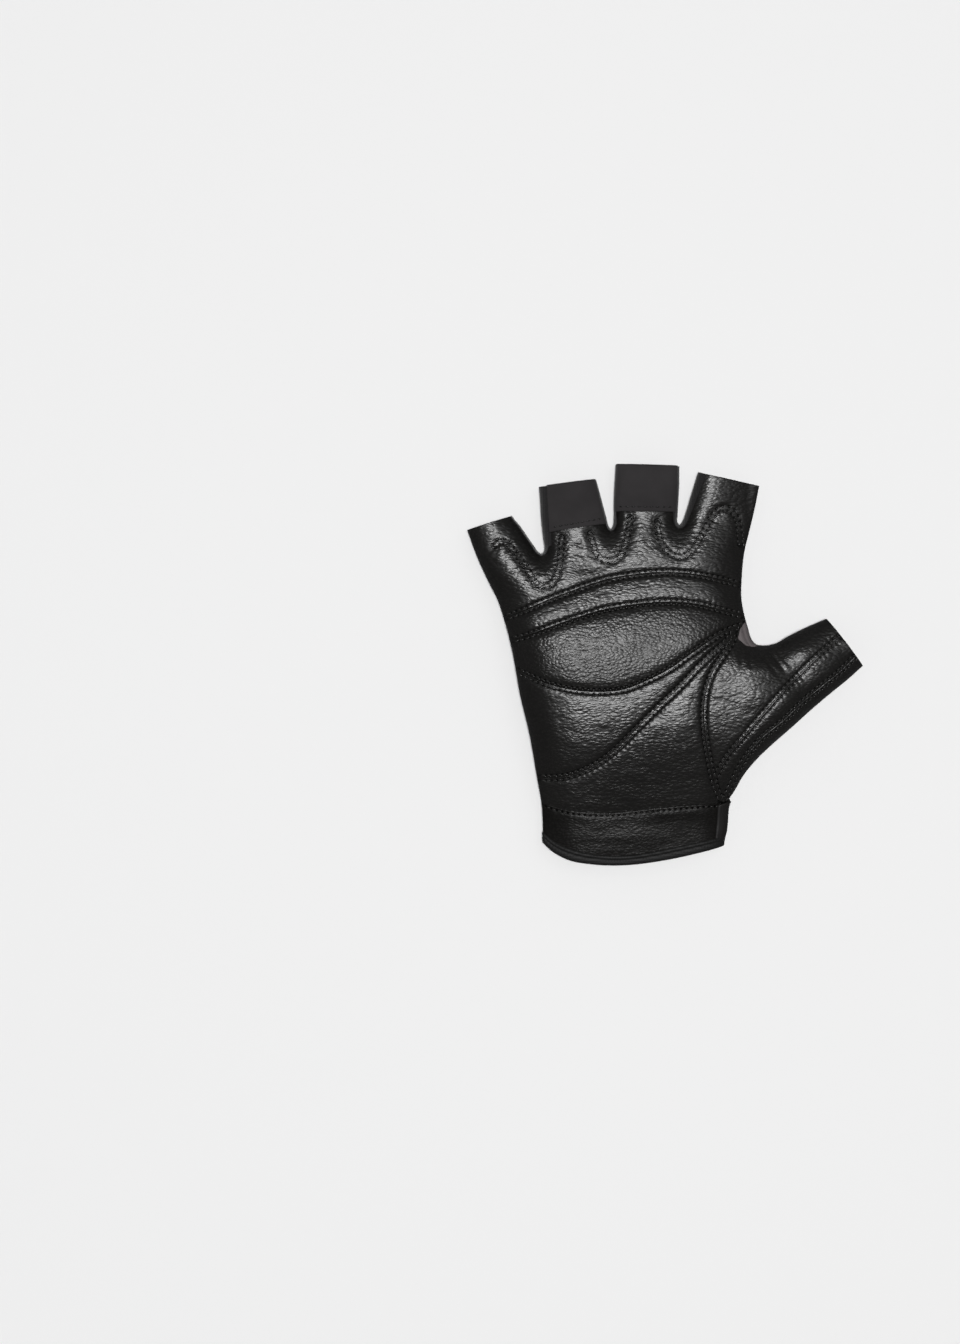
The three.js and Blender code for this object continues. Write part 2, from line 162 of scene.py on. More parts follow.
top_along_hand = profile([(-90, 9.5), (-72, 11.7), (-66, 12.3), (-60, 12.9), (-53, 14.6), (-47, 16.3),
                          (-40, 18.6), (-32, 20.9), (-24, 22.2), (-15, 22.7), (5, 22.6), (17, 20.6),
                          (26, 18.15), (31, 16.95), (36, 16.05), (43, 14.7), (50, 13.4), (57, 12.4),
                          (66, 12), (90, 11.2)])
top_along_thumb = profile([(-30, 13), (-15, 15.4), (-6, 18.6), (3, 21.1), (10, 22), (22, 21.9), (29, 21),
                           (34, 19.5), (38, 18.7), (42, 18.5), (47, 17.6), (56, 15), (66, 13), (80, 12)])
crown_share = profile([(-90, 0.25), (-60, 0.3), (-40, 0.42), (0, 0.45), (25, 0.4), (40, 0.12), (50, 0),
                       (95, 0)])


def ramp(value, start, end):
    """0 before start and 1 after end, with an S-shaped rise between."""
    t = np.clip((value - start) / (end - start), 0, 1)
    return t * t * (3 - 2 * t)


def nearest(points, line):
    """How far each point is from a line of straight pieces, and its share of the line's length there."""
    first = line[:-1]
    run = line[1:] - first
    size = (run**2).sum(1)
    reach = np.concatenate([[0], np.cumsum(np.sqrt(size))])
    found, share = np.empty(len(points)), np.empty(len(points))
    for low in range(0, len(points), 6000):
        away = points[low : low + 6000, None] - first[None]
        t = np.clip((away * run).sum(2) / size, 0, 1)
        squared = ((away - t[..., None] * run) ** 2).sum(2)
        k = squared.argmin(1)
        each = np.arange(len(k))
        found[low : low + 6000] = np.sqrt(squared[each, k])
        share[low : low + 6000] = (reach[k] + t[each, k] * (reach[k + 1] - reach[k])) / reach[-1]
    return found, share


def distance(points, line):
    """How far each point is from a line."""
    return nearest(points, line)[0]


STITCH_PITCH = 2.1  # mm, a little closer than on the real glove
ROW_APART = 0.95  # half the distance between the two rows of a double seam, mm
SEWN_ROWS = []  # (middle line, number of stitches, whether the row is double), filled in below


def row_places(points):
    """How far each point is from the middle of the nearest double seam, and how many stitches along it.

    The thread runs where the first number is ROW_APART. A single row counts as that far off its line."""
    far = np.full(len(points), 9.0)
    along = np.zeros(len(points))
    for line, count, double in SEWN_ROWS:
        low, high = line.min(0) - 5, line.max(0) + 5
        near = np.flatnonzero(((points > low) & (points < high)).all(1))
        if len(near) == 0:
            continue
        d, share = nearest(points[near], line)
        d = d + (0 if double else ROW_APART)
        closer = d < far[near]
        far[near[closer]] = d[closer]
        along[near[closer]] = share[closer] * count
    return far, along


def rounded(t):
    """A quarter circle: 0 at the edge, where it is upright, and 1 once t is 1."""
    return np.sqrt(np.maximum(0, 1 - (1 - np.clip(t, 0, 1)) ** 2))


def edge_distance(points):
    """The distances to all the edges, blended so that the middle of a strip has no crease."""
    total = np.zeros(len(points))
    for line in EDGES.values():
        total += (distance(points, line) + 1e-9) ** -3
    return total ** (-1 / 3)


def levels(points):
    """Under each point: the unsewn top, the widest level, the floor, how much it is on the thumb (0 to 1),
    and how far it is from the edges."""
    x, y = points[:, 0], points[:, 1]
    along_thumb = THUMB_RUN[0] * x + THUMB_RUN[1] * y
    on_thumb = ramp(x - 0.25 * y, 24, 44) * (1 - ramp(-y, 38, 52))  # right of a steep line, above the cuff
    top = top_along_hand(y) * (1 - on_thumb) + top_along_thumb(along_thumb) * on_thumb
    floor = FLOOR_CUFF * ramp(-y, 33, 43) * (1 - on_thumb)
    widest = floor + (top - floor) * WIDEST
    return top, widest, floor, on_thumb, edge_distance(points)


def noise(points, size, seed):
    """Smooth value noise from -1 to 1 with a cell of `size` mm."""
    grid = np.random.default_rng(seed).uniform(-1, 1, (64, 64))
    place = points / size + 32
    cell = np.floor(place).astype(int)
    f = place - cell
    f = f * f * (3 - 2 * f)
    i, j = cell[:, 0] % 63, cell[:, 1] % 63
    low = grid[i, j] * (1 - f[:, 0]) + grid[i + 1, j] * f[:, 0]
    high = grid[i, j + 1] * (1 - f[:, 0]) + grid[i + 1, j + 1] * f[:, 0]
    return low * (1 - f[:, 1]) + high * f[:, 1]


PADDED = ("knuckle", "pad_top", "pad_bottom", "diagonal", "thumb_base")
FLAT_SEWN = ("thumb_inner", "thumb_outer", "cuff")


def pressed(d, depth, width):
    """A valley along a line at distance d: `depth` mm deep and about twice `width` wide."""
    return -depth * np.exp(-((d / width) ** 2))


# Soft swellings and hollows of the worn leather: (x, y, height, reach along X, reach along Y), mm
SWELLINGS = [(-62, 43, 0.5, 5, 4), (-50, 30, 0.4, 8, 5), (-32, 50, 0.5, 6, 5), (8, -24, 0.6, 9, 11),
             (-30, 37, -0.5, 8, 3), (-9, 48, 0.6, 4, 5), (-12, 41, 0.4, 9, 3.5), (13, 40, 0.4, 7, 5),
             (21, 64, 0.3, 6, 4), (20, 54, -0.6, 6, 5), (4, 47, -0.4, 4, 4), (-45, 46, -0.4, 4, 5),
             (38, -12, 0.7, 9, 6), (42, 6, -0.6, 3, 6), (53, 4, 0.5, 8, 4), (24, -26, 0.4, 6, 10),
             (-9, -65, 0.4, 9, 4)]

# Short creases where the leather bends: from (x, y) to (x, y), depth and half width, mm
FOLDS = [((38.2, 6.2), (45.5, -3.5), 0.4, 0.8), ((40.6, 6.8), (47.6, -2), 0.35, 0.7),
         ((36, 4), (43, -5.6), 0.25, 0.7), ((28.4, 4.5), (28, -2), 0.2, 0.8),
         ((31.2, 4.6), (31.8, -2), 0.2, 0.8), ((-37, 46), (-29, 44), 0.3, 0.7),
         ((-36.5, 42), (-27, 41), 0.25, 0.7), ((-13.5, 47), (-4, 48), 0.3, 0.8),
         ((-62, 40), (-57.5, 46), 0.25, 0.8), ((12, 56), (22, 54), 0.25, 0.9),
         ((-50, 26), (-43, 29.5), 0.2, 0.8), ((-52, 29), (-46, 32), 0.2, 0.8)]


def relief(points, off_edge):
    """What the seams, the swellings and the wrinkles add to the smooth top, in mm."""
    closest = np.min([distance(points, SEAMS[name]) for name in PADDED], 0)
    total = pressed(closest, *VALLEY) - CROWN[0] * np.exp(-closest / CROWN[1])
    for name in FLAT_SEWN:
        total += pressed(distance(points, SEAMS[name]), *FLAT_VALLEY)
    for line in SLIT_ROWS.values():
        total += pressed(distance(points, line), *SLIT_VALLEY)
    far, along = row_places(points)
    total += pressed(far - ROW_APART, *THREAD_VALLEY)
    beside = np.exp(-(((far - ROW_APART - PUCKER_OFF) / PUCKER_WIDE) ** 2))
    total -= PUCKER * np.cos(2 * math.pi * along) * beside
    for x, y, rise, along_x, along_y in SWELLINGS:
        total += rise * np.exp(-(((points - (x, y)) / (along_x, along_y)) ** 2).sum(1))
    for start, end, depth, width in FOLDS:
        d, share = nearest(points, np.array([start, end], float))
        total += pressed(d, depth, width) * np.sin(np.pi * share)
    # Worn leather is never even: waves a centimetre long, and shorter ones squeezed along Y
    total += 0.18 * noise(points, 11, 3) + 0.07 * noise(points * (1, 2.2), 5, 4)
    return total * ramp(off_edge, 0, 6)  # all of it fades out over the last 6 mm to an edge


# Double rows that are sewn round the foot of each slit between the fingers
SLIT_SEWN = {
    "little_ring": [(-65.4, 44.6), (-63.2, 46.8), (-60.4, 46.2), (-57.6, 43), (-54.9, 39.3), (-52.2, 35.6),
                    (-50.6, 32.2), (-47.6, 29.9), (-44.2, 30), (-41.8, 32.7), (-40.7, 36.6), (-39.9, 41.5),
                    (-39.7, 48.6)],
    "ring_middle": [(-28.5, 50), (-27.4, 45), (-25.8, 41.2), (-22.4, 39.3), (-18.9, 39.7), (-16.4, 42.5),
                    (-15.1, 47), (-13.5, 56)],
    "middle_index": [(-3, 54.8), (-2.8, 49.8), (-0.7, 44.6), (2.2, 41.9), (5.9, 40.8), (9.5, 42.6),
                     (12.9, 47.7), (16.3, 53.4), (19.8, 58.3), (22.9, 59.4), (25.6, 58.2), (27.6, 54.5),
                     (28.4, 49.5), (28.6, 45)],
}
SLIT_ROWS = {name: smooth_curve(points) for name, points in SLIT_SEWN.items()}


def palm_height(points, sewn=True):
    """The level of the palm side over each point, in mm.

    From the widest level it rises towards the top as a steep and a slow quarter circle of the distance to
    the edges, less a lean that grows with the square of the distance beyond a line."""
    top, widest, _, on_thumb, off = levels(points)
    share = crown_share(points[:, 1]) * (1 - on_thumb) + THUMB_CROWN * on_thumb
    rise = (1 - share) * rounded(off / EDGE_ROUND) + share * rounded(off / BROAD_ROUND)
    beyond = np.clip(points[:, 0] - LEAN_START, 0, LEAN_REACH)
    lean = LEAN * beyond**2 * ramp(points[:, 1], -4, 14) * (1 - on_thumb)  # above the thumb's root only
    beyond = np.clip(LITTLE_REACH - distance(points, EDGES["little_side"]), 0, LITTLE_REACH)
    lean += LEAN_LITTLE * beyond**2 * (1 - ramp(points[:, 1], 20, 40))  # below the finger roots only
    z = widest + (top + CROWN[0] * ramp(share, 0, 0.35) - lean - widest) * rise
    return z + relief(points, off) if sewn else z


def back_height(points):
    """The level of the back, which is pressed flat where it lies."""
    _, widest, floor, _, off = levels(points)
    return widest - (widest - floor) * rounded(off / EDGE_ROUND)


# %% [markdown]
# ## Panels as Coons patches
#
# A leather panel is bounded by four lines: two seams and two stretches of the outline. A Coons patch fills
# them: it blends the two pairs of opposite sides and takes away the corners that were counted twice. Its
# steps draw together towards an edge that turns down over the side of the glove, so the round side is fine.

# %% Patches
def crossing(line, other):
    """The first place where two lines of straight pieces cross."""
    p, r = line[:-1, None], np.diff(line, axis=0)[:, None]
    q, s = other[None, :-1], np.diff(other, axis=0)[None]
    turn = r[..., 0] * s[..., 1] - r[..., 1] * s[..., 0]
    turn = np.where(np.abs(turn) < 1e-12, 1e-12, turn)
    gap = q - p
    t = (gap[..., 0] * s[..., 1] - gap[..., 1] * s[..., 0]) / turn
    u = (gap[..., 0] * r[..., 1] - gap[..., 1] * r[..., 0]) / turn
    hits = np.argwhere((t >= 0) & (t <= 1) & (u >= 0) & (u <= 1))
    i, j = hits[0]
    return line[i] + t[i, j] * (line[i + 1] - line[i])


def stretch(line, start, end):
    """The part of a line from one place on it to another, in that direction."""
    start, end = np.asarray(start, float), np.asarray(end, float)
    reach = np.concatenate([[0], np.cumsum(np.linalg.norm(np.diff(line, axis=0), axis=1))])

    def where(place):
        first, run = line[:-1], np.diff(line, axis=0)
        t = np.clip(((place - first) * run).sum(1) / (run**2).sum(1), 0, 1)
        k = np.argmin(((place - first - t[:, None] * run) ** 2).sum(1))
        return reach[k] + t[k] * (reach[k + 1] - reach[k])

    a, b = where(start), where(end)
    inside = line[(reach > min(a, b) + 0.05) & (reach < max(a, b) - 0.05)]
    if a > b:
        inside = inside[::-1]
    return np.vstack([start, inside, end])


def chain(*lines):
    """Lines laid end to end, each starting where the last one ended."""
    return np.vstack([lines[0]] + [line[1:] for line in lines[1:]])


def at_shares(line, shares):
    """Places at given shares of a line's length."""
    reach = np.concatenate([[0], np.cumsum(np.linalg.norm(np.diff(line, axis=0), axis=1))])
    return np.stack([np.interp(shares * reach[-1], reach, line[:, k]) for k in (0, 1)], 1)


def shares(length, step, round_start=False, round_end=False):
    """Shares of a length in steps of about `step`, drawn together as 1 - cos towards a rounded end."""
    size = min(EDGE_ROUND, length * 0.45)
    turn = 1 - np.cos(np.linspace(0, np.pi / 2, 15))[:-1]
    low = size * turn if round_start else np.zeros(0)
    high = length - size * turn[::-1] if round_end else np.zeros(0)
    start = size if round_start else 0.0
    end = length - size if round_end else length
    middle = np.linspace(start, end, max(2, int(round((end - start) / step)) + 1))
    return np.concatenate([low, middle, high]) / length


def length_of(line):
    """The length of a line, in mm."""
    return np.linalg.norm(np.diff(line, axis=0), axis=1).sum()


def offset(line, widths):
    """The line moved to its right by a width at each point."""
    run = np.gradient(line, axis=0)
    run /= np.linalg.norm(run, axis=1)[:, None]
    return line + np.stack([run[:, 1], -run[:, 0]], 1) * widths[:, None]


def coons(bottom, top, left, right, u, v):
    """Blends bottom and top (left to right) with left and right (bottom to top), as rows of points."""
    low, high = at_shares(bottom, u)[None], at_shares(top, u)[None]
    near, far = at_shares(left, v)[:, None], at_shares(right, v)[:, None]
    uu, vv = u[None, :, None], v[:, None, None]
    corners = (1 - uu) * (1 - vv) * low[:, :1] + uu * (1 - vv) * low[:, -1:]
    corners = corners + (1 - uu) * vv * high[:, :1] + uu * vv * high[:, -1:]
    return (1 - vv) * low + vv * high + (1 - uu) * near + uu * far - corners


def grid_faces(rows, columns, closed=False):
    """Quads of a grid of points numbered row by row, whose columns may close into a loop."""
    i, j = np.meshgrid(np.arange(rows - 1), np.arange(columns if closed else columns - 1), indexing="ij")
    right = (j + 1) % columns
    return np.stack([i * columns + j, i * columns + right, (i + 1) * columns + right, (i + 1) * columns + j],
                    -1).reshape(-1, 4)


def joined(parts):
    """Several (points, faces) as one, with their numbers shifted."""
    count = np.cumsum([0] + [len(points) for points, _ in parts])
    faces = [face + shift for (_, face), shift in zip(parts, count)]
    return np.vstack([points for points, _ in parts]), np.vstack(faces)


def piece(name, points, faces, material, node=None, slot=None, wall=0.0, sewn=False):
    """Makes one mesh from points in mm: equal points are welded, and quads with a doubled corner lose it.

    `wall` gives it a thickness inwards, `node` is what it stands for, and `sewn` notes its stitches."""
    _, index, back = np.unique(np.round(points, 4), axis=0, return_index=True, return_inverse=True)
    faces = back.reshape(-1)[faces]
    points = points[index]
    doubled = faces == np.roll(faces, 1, axis=1)
    sizes = faces.shape[1] - doubled.sum(1)
    keep = sizes >= 3
    corners = faces[keep][~doubled[keep]]
    starts = np.concatenate([[0], np.cumsum(sizes[keep])[:-1]])
    mesh = bpy.data.meshes.new(name)
    mesh.vertices.add(len(points))
    mesh.loops.add(len(corners))
    mesh.polygons.add(len(starts))
    mesh.vertices.foreach_set("co", (points * MM).ravel())
    mesh.loops.foreach_set("vertex_index", corners)
    mesh.polygons.foreach_set("loop_start", starts)
    mesh.polygons.foreach_set("use_smooth", np.full(len(starts), True))
    mesh.update(calc_edges=True)
    mesh.validate()
    if sewn:
        far, along = row_places(points[:, :2])
        for key, values in (("seam_distance", far), ("stitches_along", along)):
            mesh.attributes.new(key, "FLOAT", "POINT").data.foreach_set("value", values.astype(np.float32))
    mesh.materials.append(material)
    obj = bpy.data.objects.new(name, mesh)
    bpy.context.scene.collection.objects.link(obj)
    if wall:
        solid = obj.modifiers.new("wall", "SOLIDIFY")
        solid.thickness = wall * MM
        solid.offset = -1
        solid.use_even_offset = False
    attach(obj, "root")
    if node:
        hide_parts(node)
    print(name, len(mesh.vertices), "points", len(mesh.polygons), "faces")
    return obj


def facing(grid, up):
    """Quads of a plan grid, turned to face up or down."""
    rows, columns = grid.shape[:2]
    faces = grid_faces(rows, columns)
    a, b, c = grid[:-1, :-1], grid[:-1, 1:], grid[1:, :-1]
    area = ((b - a)[..., 0] * (c - a)[..., 1] - (b - a)[..., 1] * (c - a)[..., 0]).sum()
    return faces if (area > 0) == up else faces[:, ::-1]


def lifted(grid, height, up=True):
    """A plan grid with its height over each point, and its quads."""
    flat = grid.reshape(-1, 2)
    return np.column_stack([flat, height(flat)]), facing(grid, up)


# %% [markdown]
# ## Materials
#
# Everything on this glove is black, so the finishes must tell the pieces apart: the sheen of the leather,
# the dull knit, the glossy film, the chalky tab cloth. Photographs of leather would be tied to one
# unfolding of the panels, so each finish is worked out from nodes and real sizes: the pebbles of goatskin
# are about a millimetre, the ribs of the elastic a little more.

# %% Material helpers
def linear(colour):
    """An sRGB hex colour as the linear numbers that Blender works with."""
    parts = [int(colour[i : i + 2], 16) / 255 for i in (1, 3, 5)]
    return tuple(c / 12.92 if c <= 0.04045 else ((c + 0.055) / 1.055) ** 2.4 for c in parts) + (1.0,)


def add(tree, kind, settings=None, **inputs):
    """Adds a node. Settings are its properties, and inputs are values or the sockets that feed it."""
    node = tree.nodes.new(kind)
    for key, value in (settings or {}).items():
        setattr(node, key, value)
    for key, value in inputs.items():
        socket = node.inputs[int(key[1:])] if key[0] == "_" else node.inputs[key.replace("_", " ")]
        if isinstance(value, bpy.types.NodeSocket):
            tree.links.new(value, socket)
        else:
            socket.default_value = value
    return node


def new_material(name, colour, rough, specular=0.5):
    """A material with its shader, ready for a pattern. Returns the tree, the shader and the object place."""
    material = bpy.data.materials.new(name)
    material.use_nodes = True
    tree = material.node_tree
    shader = tree.nodes["Principled BSDF"]
    shader.inputs["Base Color"].default_value = linear(colour)
    shader.inputs["Roughness"].default_value = rough
    shader.inputs["Specular IOR Level"].default_value = specular
    place = add(tree, "ShaderNodeTexCoord").outputs["Object"]
    return material, tree, shader, place


def scale_of(size):
    """The scale of a texture with cells `size` mm wide: how many go into a metre, as places are in metres."""
    return 1000 / size


def bumped(tree, shader, *layers):
    """Chains bumps, coarse to fine. Each layer is (height socket, strength, depth in mm)."""
    normal = None
    for height, strength, depth in layers:
        bump = add(tree, "ShaderNodeBump", Height=height, Strength=strength, Distance=depth * MM)
        if normal:
            tree.links.new(normal, bump.inputs["Normal"])
        normal = bump.outputs["Normal"]
    tree.links.new(normal, shader.inputs["Normal"])


# %% [markdown]
# **Goatskin.** Full-grain goatskin has raised pebbles about a millimetre across with fine creases between.
# Where the hand bends, the pebbles run together into wrinkles that lie across the pull. The surface is
# dyed and waxed: black, with a soft shine that breaks up on the grain. The grain is drawn up to twice as
# coarse as real, so that it shows at the size of the picture. A needle leaves a small pit where the thread
# goes down.

# %% Goatskin
HOLE, HOLE_RIM = 0.18, 0.56  # how far a hole reaches from its middle, and its soft rim, mm


def needle_holes(tree):
    """1 on the skin and 0 in the holes where the thread goes down: the distance to the nearest hole, in mm,
    follows from how far a point is off the row and how far it is from a whole number of stitches."""
    across = add(tree, "ShaderNodeAttribute", {"attribute_name": "seam_distance"}).outputs["Fac"]
    off_row = add(tree, "ShaderNodeMath", {"operation": "SUBTRACT"}, _0=across, _1=ROW_APART)
    along = add(tree, "ShaderNodeAttribute", {"attribute_name": "stitches_along"}).outputs["Fac"]
    turned = add(tree, "ShaderNodeMath", {"operation": "PINGPONG"}, _0=along, _1=0.5)
    off_hole = add(tree, "ShaderNodeMath", {"operation": "MULTIPLY"}, _0=turned.outputs[0], _1=STITCH_PITCH)
    both = add(tree, "ShaderNodeCombineXYZ", X=off_row.outputs[0], Y=off_hole.outputs[0])
    far = add(tree, "ShaderNodeVectorMath", {"operation": "LENGTH"}, _0=both.outputs["Vector"])
    return add(tree, "ShaderNodeMapRange", {"interpolation_type": "SMOOTHSTEP"}, Value=far.outputs["Value"],
               From_Min=HOLE, From_Max=HOLE_RIM).outputs["Result"]


def goatskin(name, colour, rough, pebble, stretch_y, wrinkle, pebble_rise, specular=0.55):
    """Pebbles of `pebble` mm, squeezed along Y by `stretch_y`, with creases between and wrinkles under them.

    The creases are duller than the pebbles and painted darker as shade, the needle holes are painted dark as
    shade, and the wax is uneven in patches."""
    material, tree, shader, place = new_material(name, colour, rough, specular)
    warp = add(tree, "ShaderNodeTexNoise", Vector=place, Scale=scale_of(7.14), Detail=3.0)
    bent = add(tree, "ShaderNodeMixRGB", {"blend_type": "LINEAR_LIGHT"}, Fac=0.0016, Color1=place,
               Color2=warp.outputs["Color"])
    across = add(tree, "ShaderNodeMapping", Vector=bent.outputs["Color"], Scale=(1, stretch_y, 1))
    cells = add(tree, "ShaderNodeTexVoronoi", {"feature": "SMOOTH_F1"}, Vector=across.outputs["Vector"],
                Scale=scale_of(pebble), Smoothness=0.5)
    creases = add(tree, "ShaderNodeTexVoronoi", {"feature": "DISTANCE_TO_EDGE"},
                  Vector=across.outputs["Vector"], Scale=scale_of(pebble))
    crease = add(tree, "ShaderNodeMapRange", {"interpolation_type": "SMOOTHSTEP"},
                 Value=creases.outputs["Distance"], From_Max=0.26)
    pebbles = add(tree, "ShaderNodeMapRange", Value=cells.outputs["Distance"], From_Max=0.8, To_Min=1.0,
                  To_Max=0.0)
    folds_at = add(tree, "ShaderNodeMapping", Vector=bent.outputs["Color"], Scale=(0.9, 2.5, 1))
    folds = add(tree, "ShaderNodeTexNoise", Vector=folds_at.outputs["Vector"], Scale=scale_of(3.03),
                Detail=4.0, Roughness=0.55, Distortion=0.6)
    patches = add(tree, "ShaderNodeTexNoise", Vector=place, Scale=scale_of(26.3), Detail=3.0)
    shine = add(tree, "ShaderNodeMapRange", Value=patches.outputs["Fac"], From_Min=0.3, From_Max=0.7,
                To_Min=rough - 0.03, To_Max=rough + 0.05)
    waxed = add(tree, "ShaderNodeMapRange", Value=crease.outputs["Result"], To_Min=0.06, To_Max=0.0)
    dull = add(tree, "ShaderNodeMath", {"operation": "ADD"}, _0=shine.outputs["Result"],
               _1=waxed.outputs["Result"])
    # Painted shade: the colour is darker in the creases and black in the needle holes.
    wear_and_shade = add(tree, "ShaderNodeMapRange", Value=crease.outputs["Result"], To_Min=0.6, To_Max=1.12)
    pierced = needle_holes(tree)
    shade = add(tree, "ShaderNodeMath", {"operation": "MULTIPLY"}, _0=wear_and_shade.outputs["Result"], _1=pierced)
    tint = add(tree, "ShaderNodeMixRGB", {"blend_type": "MULTIPLY"}, Fac=1.0, Color1=linear(colour),
               Color2=shade.outputs[0])
    tree.links.new(dull.outputs[0], shader.inputs["Roughness"])
    tree.links.new(tint.outputs["Color"], shader.inputs["Base Color"])
    bumped(tree, shader, (pierced, 0.9, 0.45), (folds.outputs["Fac"], wrinkle, 0.24),
           (pebbles.outputs["Result"], pebble_rise, 0.17),
           (crease.outputs["Result"], 0.3 * pebble_rise, 0.12))
    return material


# The stretched skin of the pad keeps its round pebbles, and catches the light in points
SKIN_PEBBLED = goatskin("goatskin_pebbled", "#151413", 0.32, 1.4, 1.45, 0.12, 0.72, specular=0.47)
# Where the palm bends, the pebbles close up into creases that lie across the hand
SKIN_CREASED = goatskin("goatskin_creased", "#131211", 0.30, 2.1, 2.3, 0.2, 0.64)
# The thumb's skin is thinner and softer, between the two
SKIN_THUMB = goatskin("goatskin_soft_drum_dyed", "#151413", 0.30, 1.9, 1.9, 0.2, 0.66)
# The cuff's has little wax on it, so it stays dull
SKIN_CUFF = goatskin("goatskin_cuff_dull", "#131211", 0.36, 1.6, 1.9, 0.3, 0.4, specular=0.17)


def painted_fold_highlight():
    """Pale grey-brown, matte and slightly napped: the pale colour is a painted highlight of the rolled fold.
    """
    material, tree, shader, place = new_material("goatskin_flesh_side", "#615b5c", 0.6, 0.4)
    nap = add(tree, "ShaderNodeTexNoise", Vector=place, Scale=scale_of(1.11), Detail=4.0)
    folds = add(tree, "ShaderNodeTexNoise", Vector=place, Scale=scale_of(2.38), Detail=2.0)
    bumped(tree, shader, (folds.outputs["Fac"], 0.5, 0.5), (nap.outputs["Fac"], 0.4, 0.1))
    return material


# Its pale colour is a painted highlight of the rolled edge at the web.
SKIN_FOLD_HIGHLIGHT = painted_fold_highlight()

# %% [markdown]
# **Knit, film and tapes.** The back is a fine matte knit. A polyurethane film is heat-pressed on it and
# leaves two windows of bare knit. The film is smooth and glossy but still shows the knit faintly. It could
# be a piece of its own, but it is thinner than a hair, so a mask from straight sides draws the windows in
# one material, and their borders stay sharp at any distance.
#
# Fibres, pile and the twist of a thread are finer than the picture can show, and threads in woven cloth lie
# about 0.4 mm apart, so all of them are drawn as coarse as they need to show.

# %% Cloths
def stripes(tree, place, pitch, axis):
    """A wave from 0 to 1 that repeats every `pitch` mm along an axis."""
    parts = add(tree, "ShaderNodeSeparateXYZ", Vector=place)
    angle = add(tree, "ShaderNodeMath", {"operation": "MULTIPLY"}, _0=parts.outputs[axis],
                _1=2 * math.pi / (pitch * MM))
    wave = add(tree, "ShaderNodeMath", {"operation": "SINE"}, _0=angle.outputs[0])
    level = add(tree, "ShaderNodeMapRange", Value=wave.outputs[0], From_Min=-1.0, From_Max=1.0)
    return level.outputs["Result"]


def knit_pattern(tree, place, pitch):
    """Small stitches: two crossed waves, multiplied. The rows lie a little closer than the columns."""
    wales = stripes(tree, place, pitch, 0)
    courses = stripes(tree, place, pitch * 0.8, 1)
    return add(tree, "ShaderNodeMath", {"operation": "MULTIPLY"}, _0=wales, _1=courses).outputs[0]


def plain_cloth(name, colour, rough, pitch, depth, sheen=0.3, fuzz=0.5, specular=0.25):
    """A woven or knitted cloth with threads every `pitch` mm and `depth` mm deep, and a soft fuzz."""
    material, tree, shader, place = new_material(name, colour, rough, specular)
    shader.inputs["Sheen Weight"].default_value = sheen
    shader.inputs["Sheen Roughness"].default_value = 0.45
    threads = knit_pattern(tree, place, pitch)
    fibres = add(tree, "ShaderNodeTexNoise", Vector=place, Scale=scale_of(0.625), Detail=3.0)
    blotch = add(tree, "ShaderNodeTexNoise", Vector=place, Scale=scale_of(11.1), Detail=3.0)
    shade = add(tree, "ShaderNodeMapRange", Value=blotch.outputs["Fac"], From_Min=0.3, From_Max=0.7,
                To_Min=0.86, To_Max=1.14)
    tint = add(tree, "ShaderNodeMixRGB", {"blend_type": "MULTIPLY"}, Fac=1.0, Color1=linear(colour),
               Color2=shade.outputs["Result"])
    tree.links.new(tint.outputs["Color"], shader.inputs["Base Color"])
    bumped(tree, shader, (threads, fuzz, depth), (fibres.outputs["Fac"], 0.35, 0.06))
    return material


WINDOW_ROUND = 1.2  # how far the corners of the windows are softened, mm
# Windows of bare knit in the film, as seen from the palm side, in mm
UPPER_WINDOW = [(-55.5, -2.2), (-47, 4), (-33, 9.5), (-20.3, 15.3), (-7, 18.4), (3.6, 18.2), (10.8, 14.8),
                (20.6, 9.2), (22.2, 5.6), (21.5, -0.6), (19.5, -8.5), (13.4, -12.4), (-20, -13.6),
                (-55.5, -14.6)]
LOWER_WINDOW = [(-52, -27.2), (8, -26.4), (10.4, -29.6), (9.8, -35), (7, -43.5), (2, -48), (-52, -48.6)]
# The upper border of the film, across the finger roots
FILM_TOP = [(-58, 24), (-42, 31.2), (-23, 38.6), (-8.5, 43), (3.6, 44.9), (20, 45), (32, 44.3)]


def inside(tree, place, corners):
    """How far inside a window with straight sides each point is, in metres: the softened least over them."""
    middle = np.mean(corners, 0)
    least = None
    for a, b in zip(corners, corners[1:] + corners[:1]):
        out = np.array([b[1] - a[1], a[0] - b[0]], float)
        out /= np.linalg.norm(out)
        if np.dot(middle - a, out) > 0:
            out = -out
        dot = add(tree, "ShaderNodeVectorMath", {"operation": "DOT_PRODUCT"}, _0=place,
                  _1=(-out[0], -out[1], 0))
        side = add(tree, "ShaderNodeMath", {"operation": "ADD"}, _0=dot.outputs["Value"],
                   _1=float(np.dot(a, out)) * MM)
        if least:
            side = add(tree, "ShaderNodeMath", {"operation": "SMOOTH_MIN"}, _0=least.outputs[0],
                       _1=side.outputs[0], _2=WINDOW_ROUND * MM)
        least = side
    return least.outputs[0]


FILM_EDGE = 0.12  # how wide the border of the film is, mm
KNIT_PITCH = 1.3  # real knit has a stitch about every 0.5 mm, which would be too fine to show


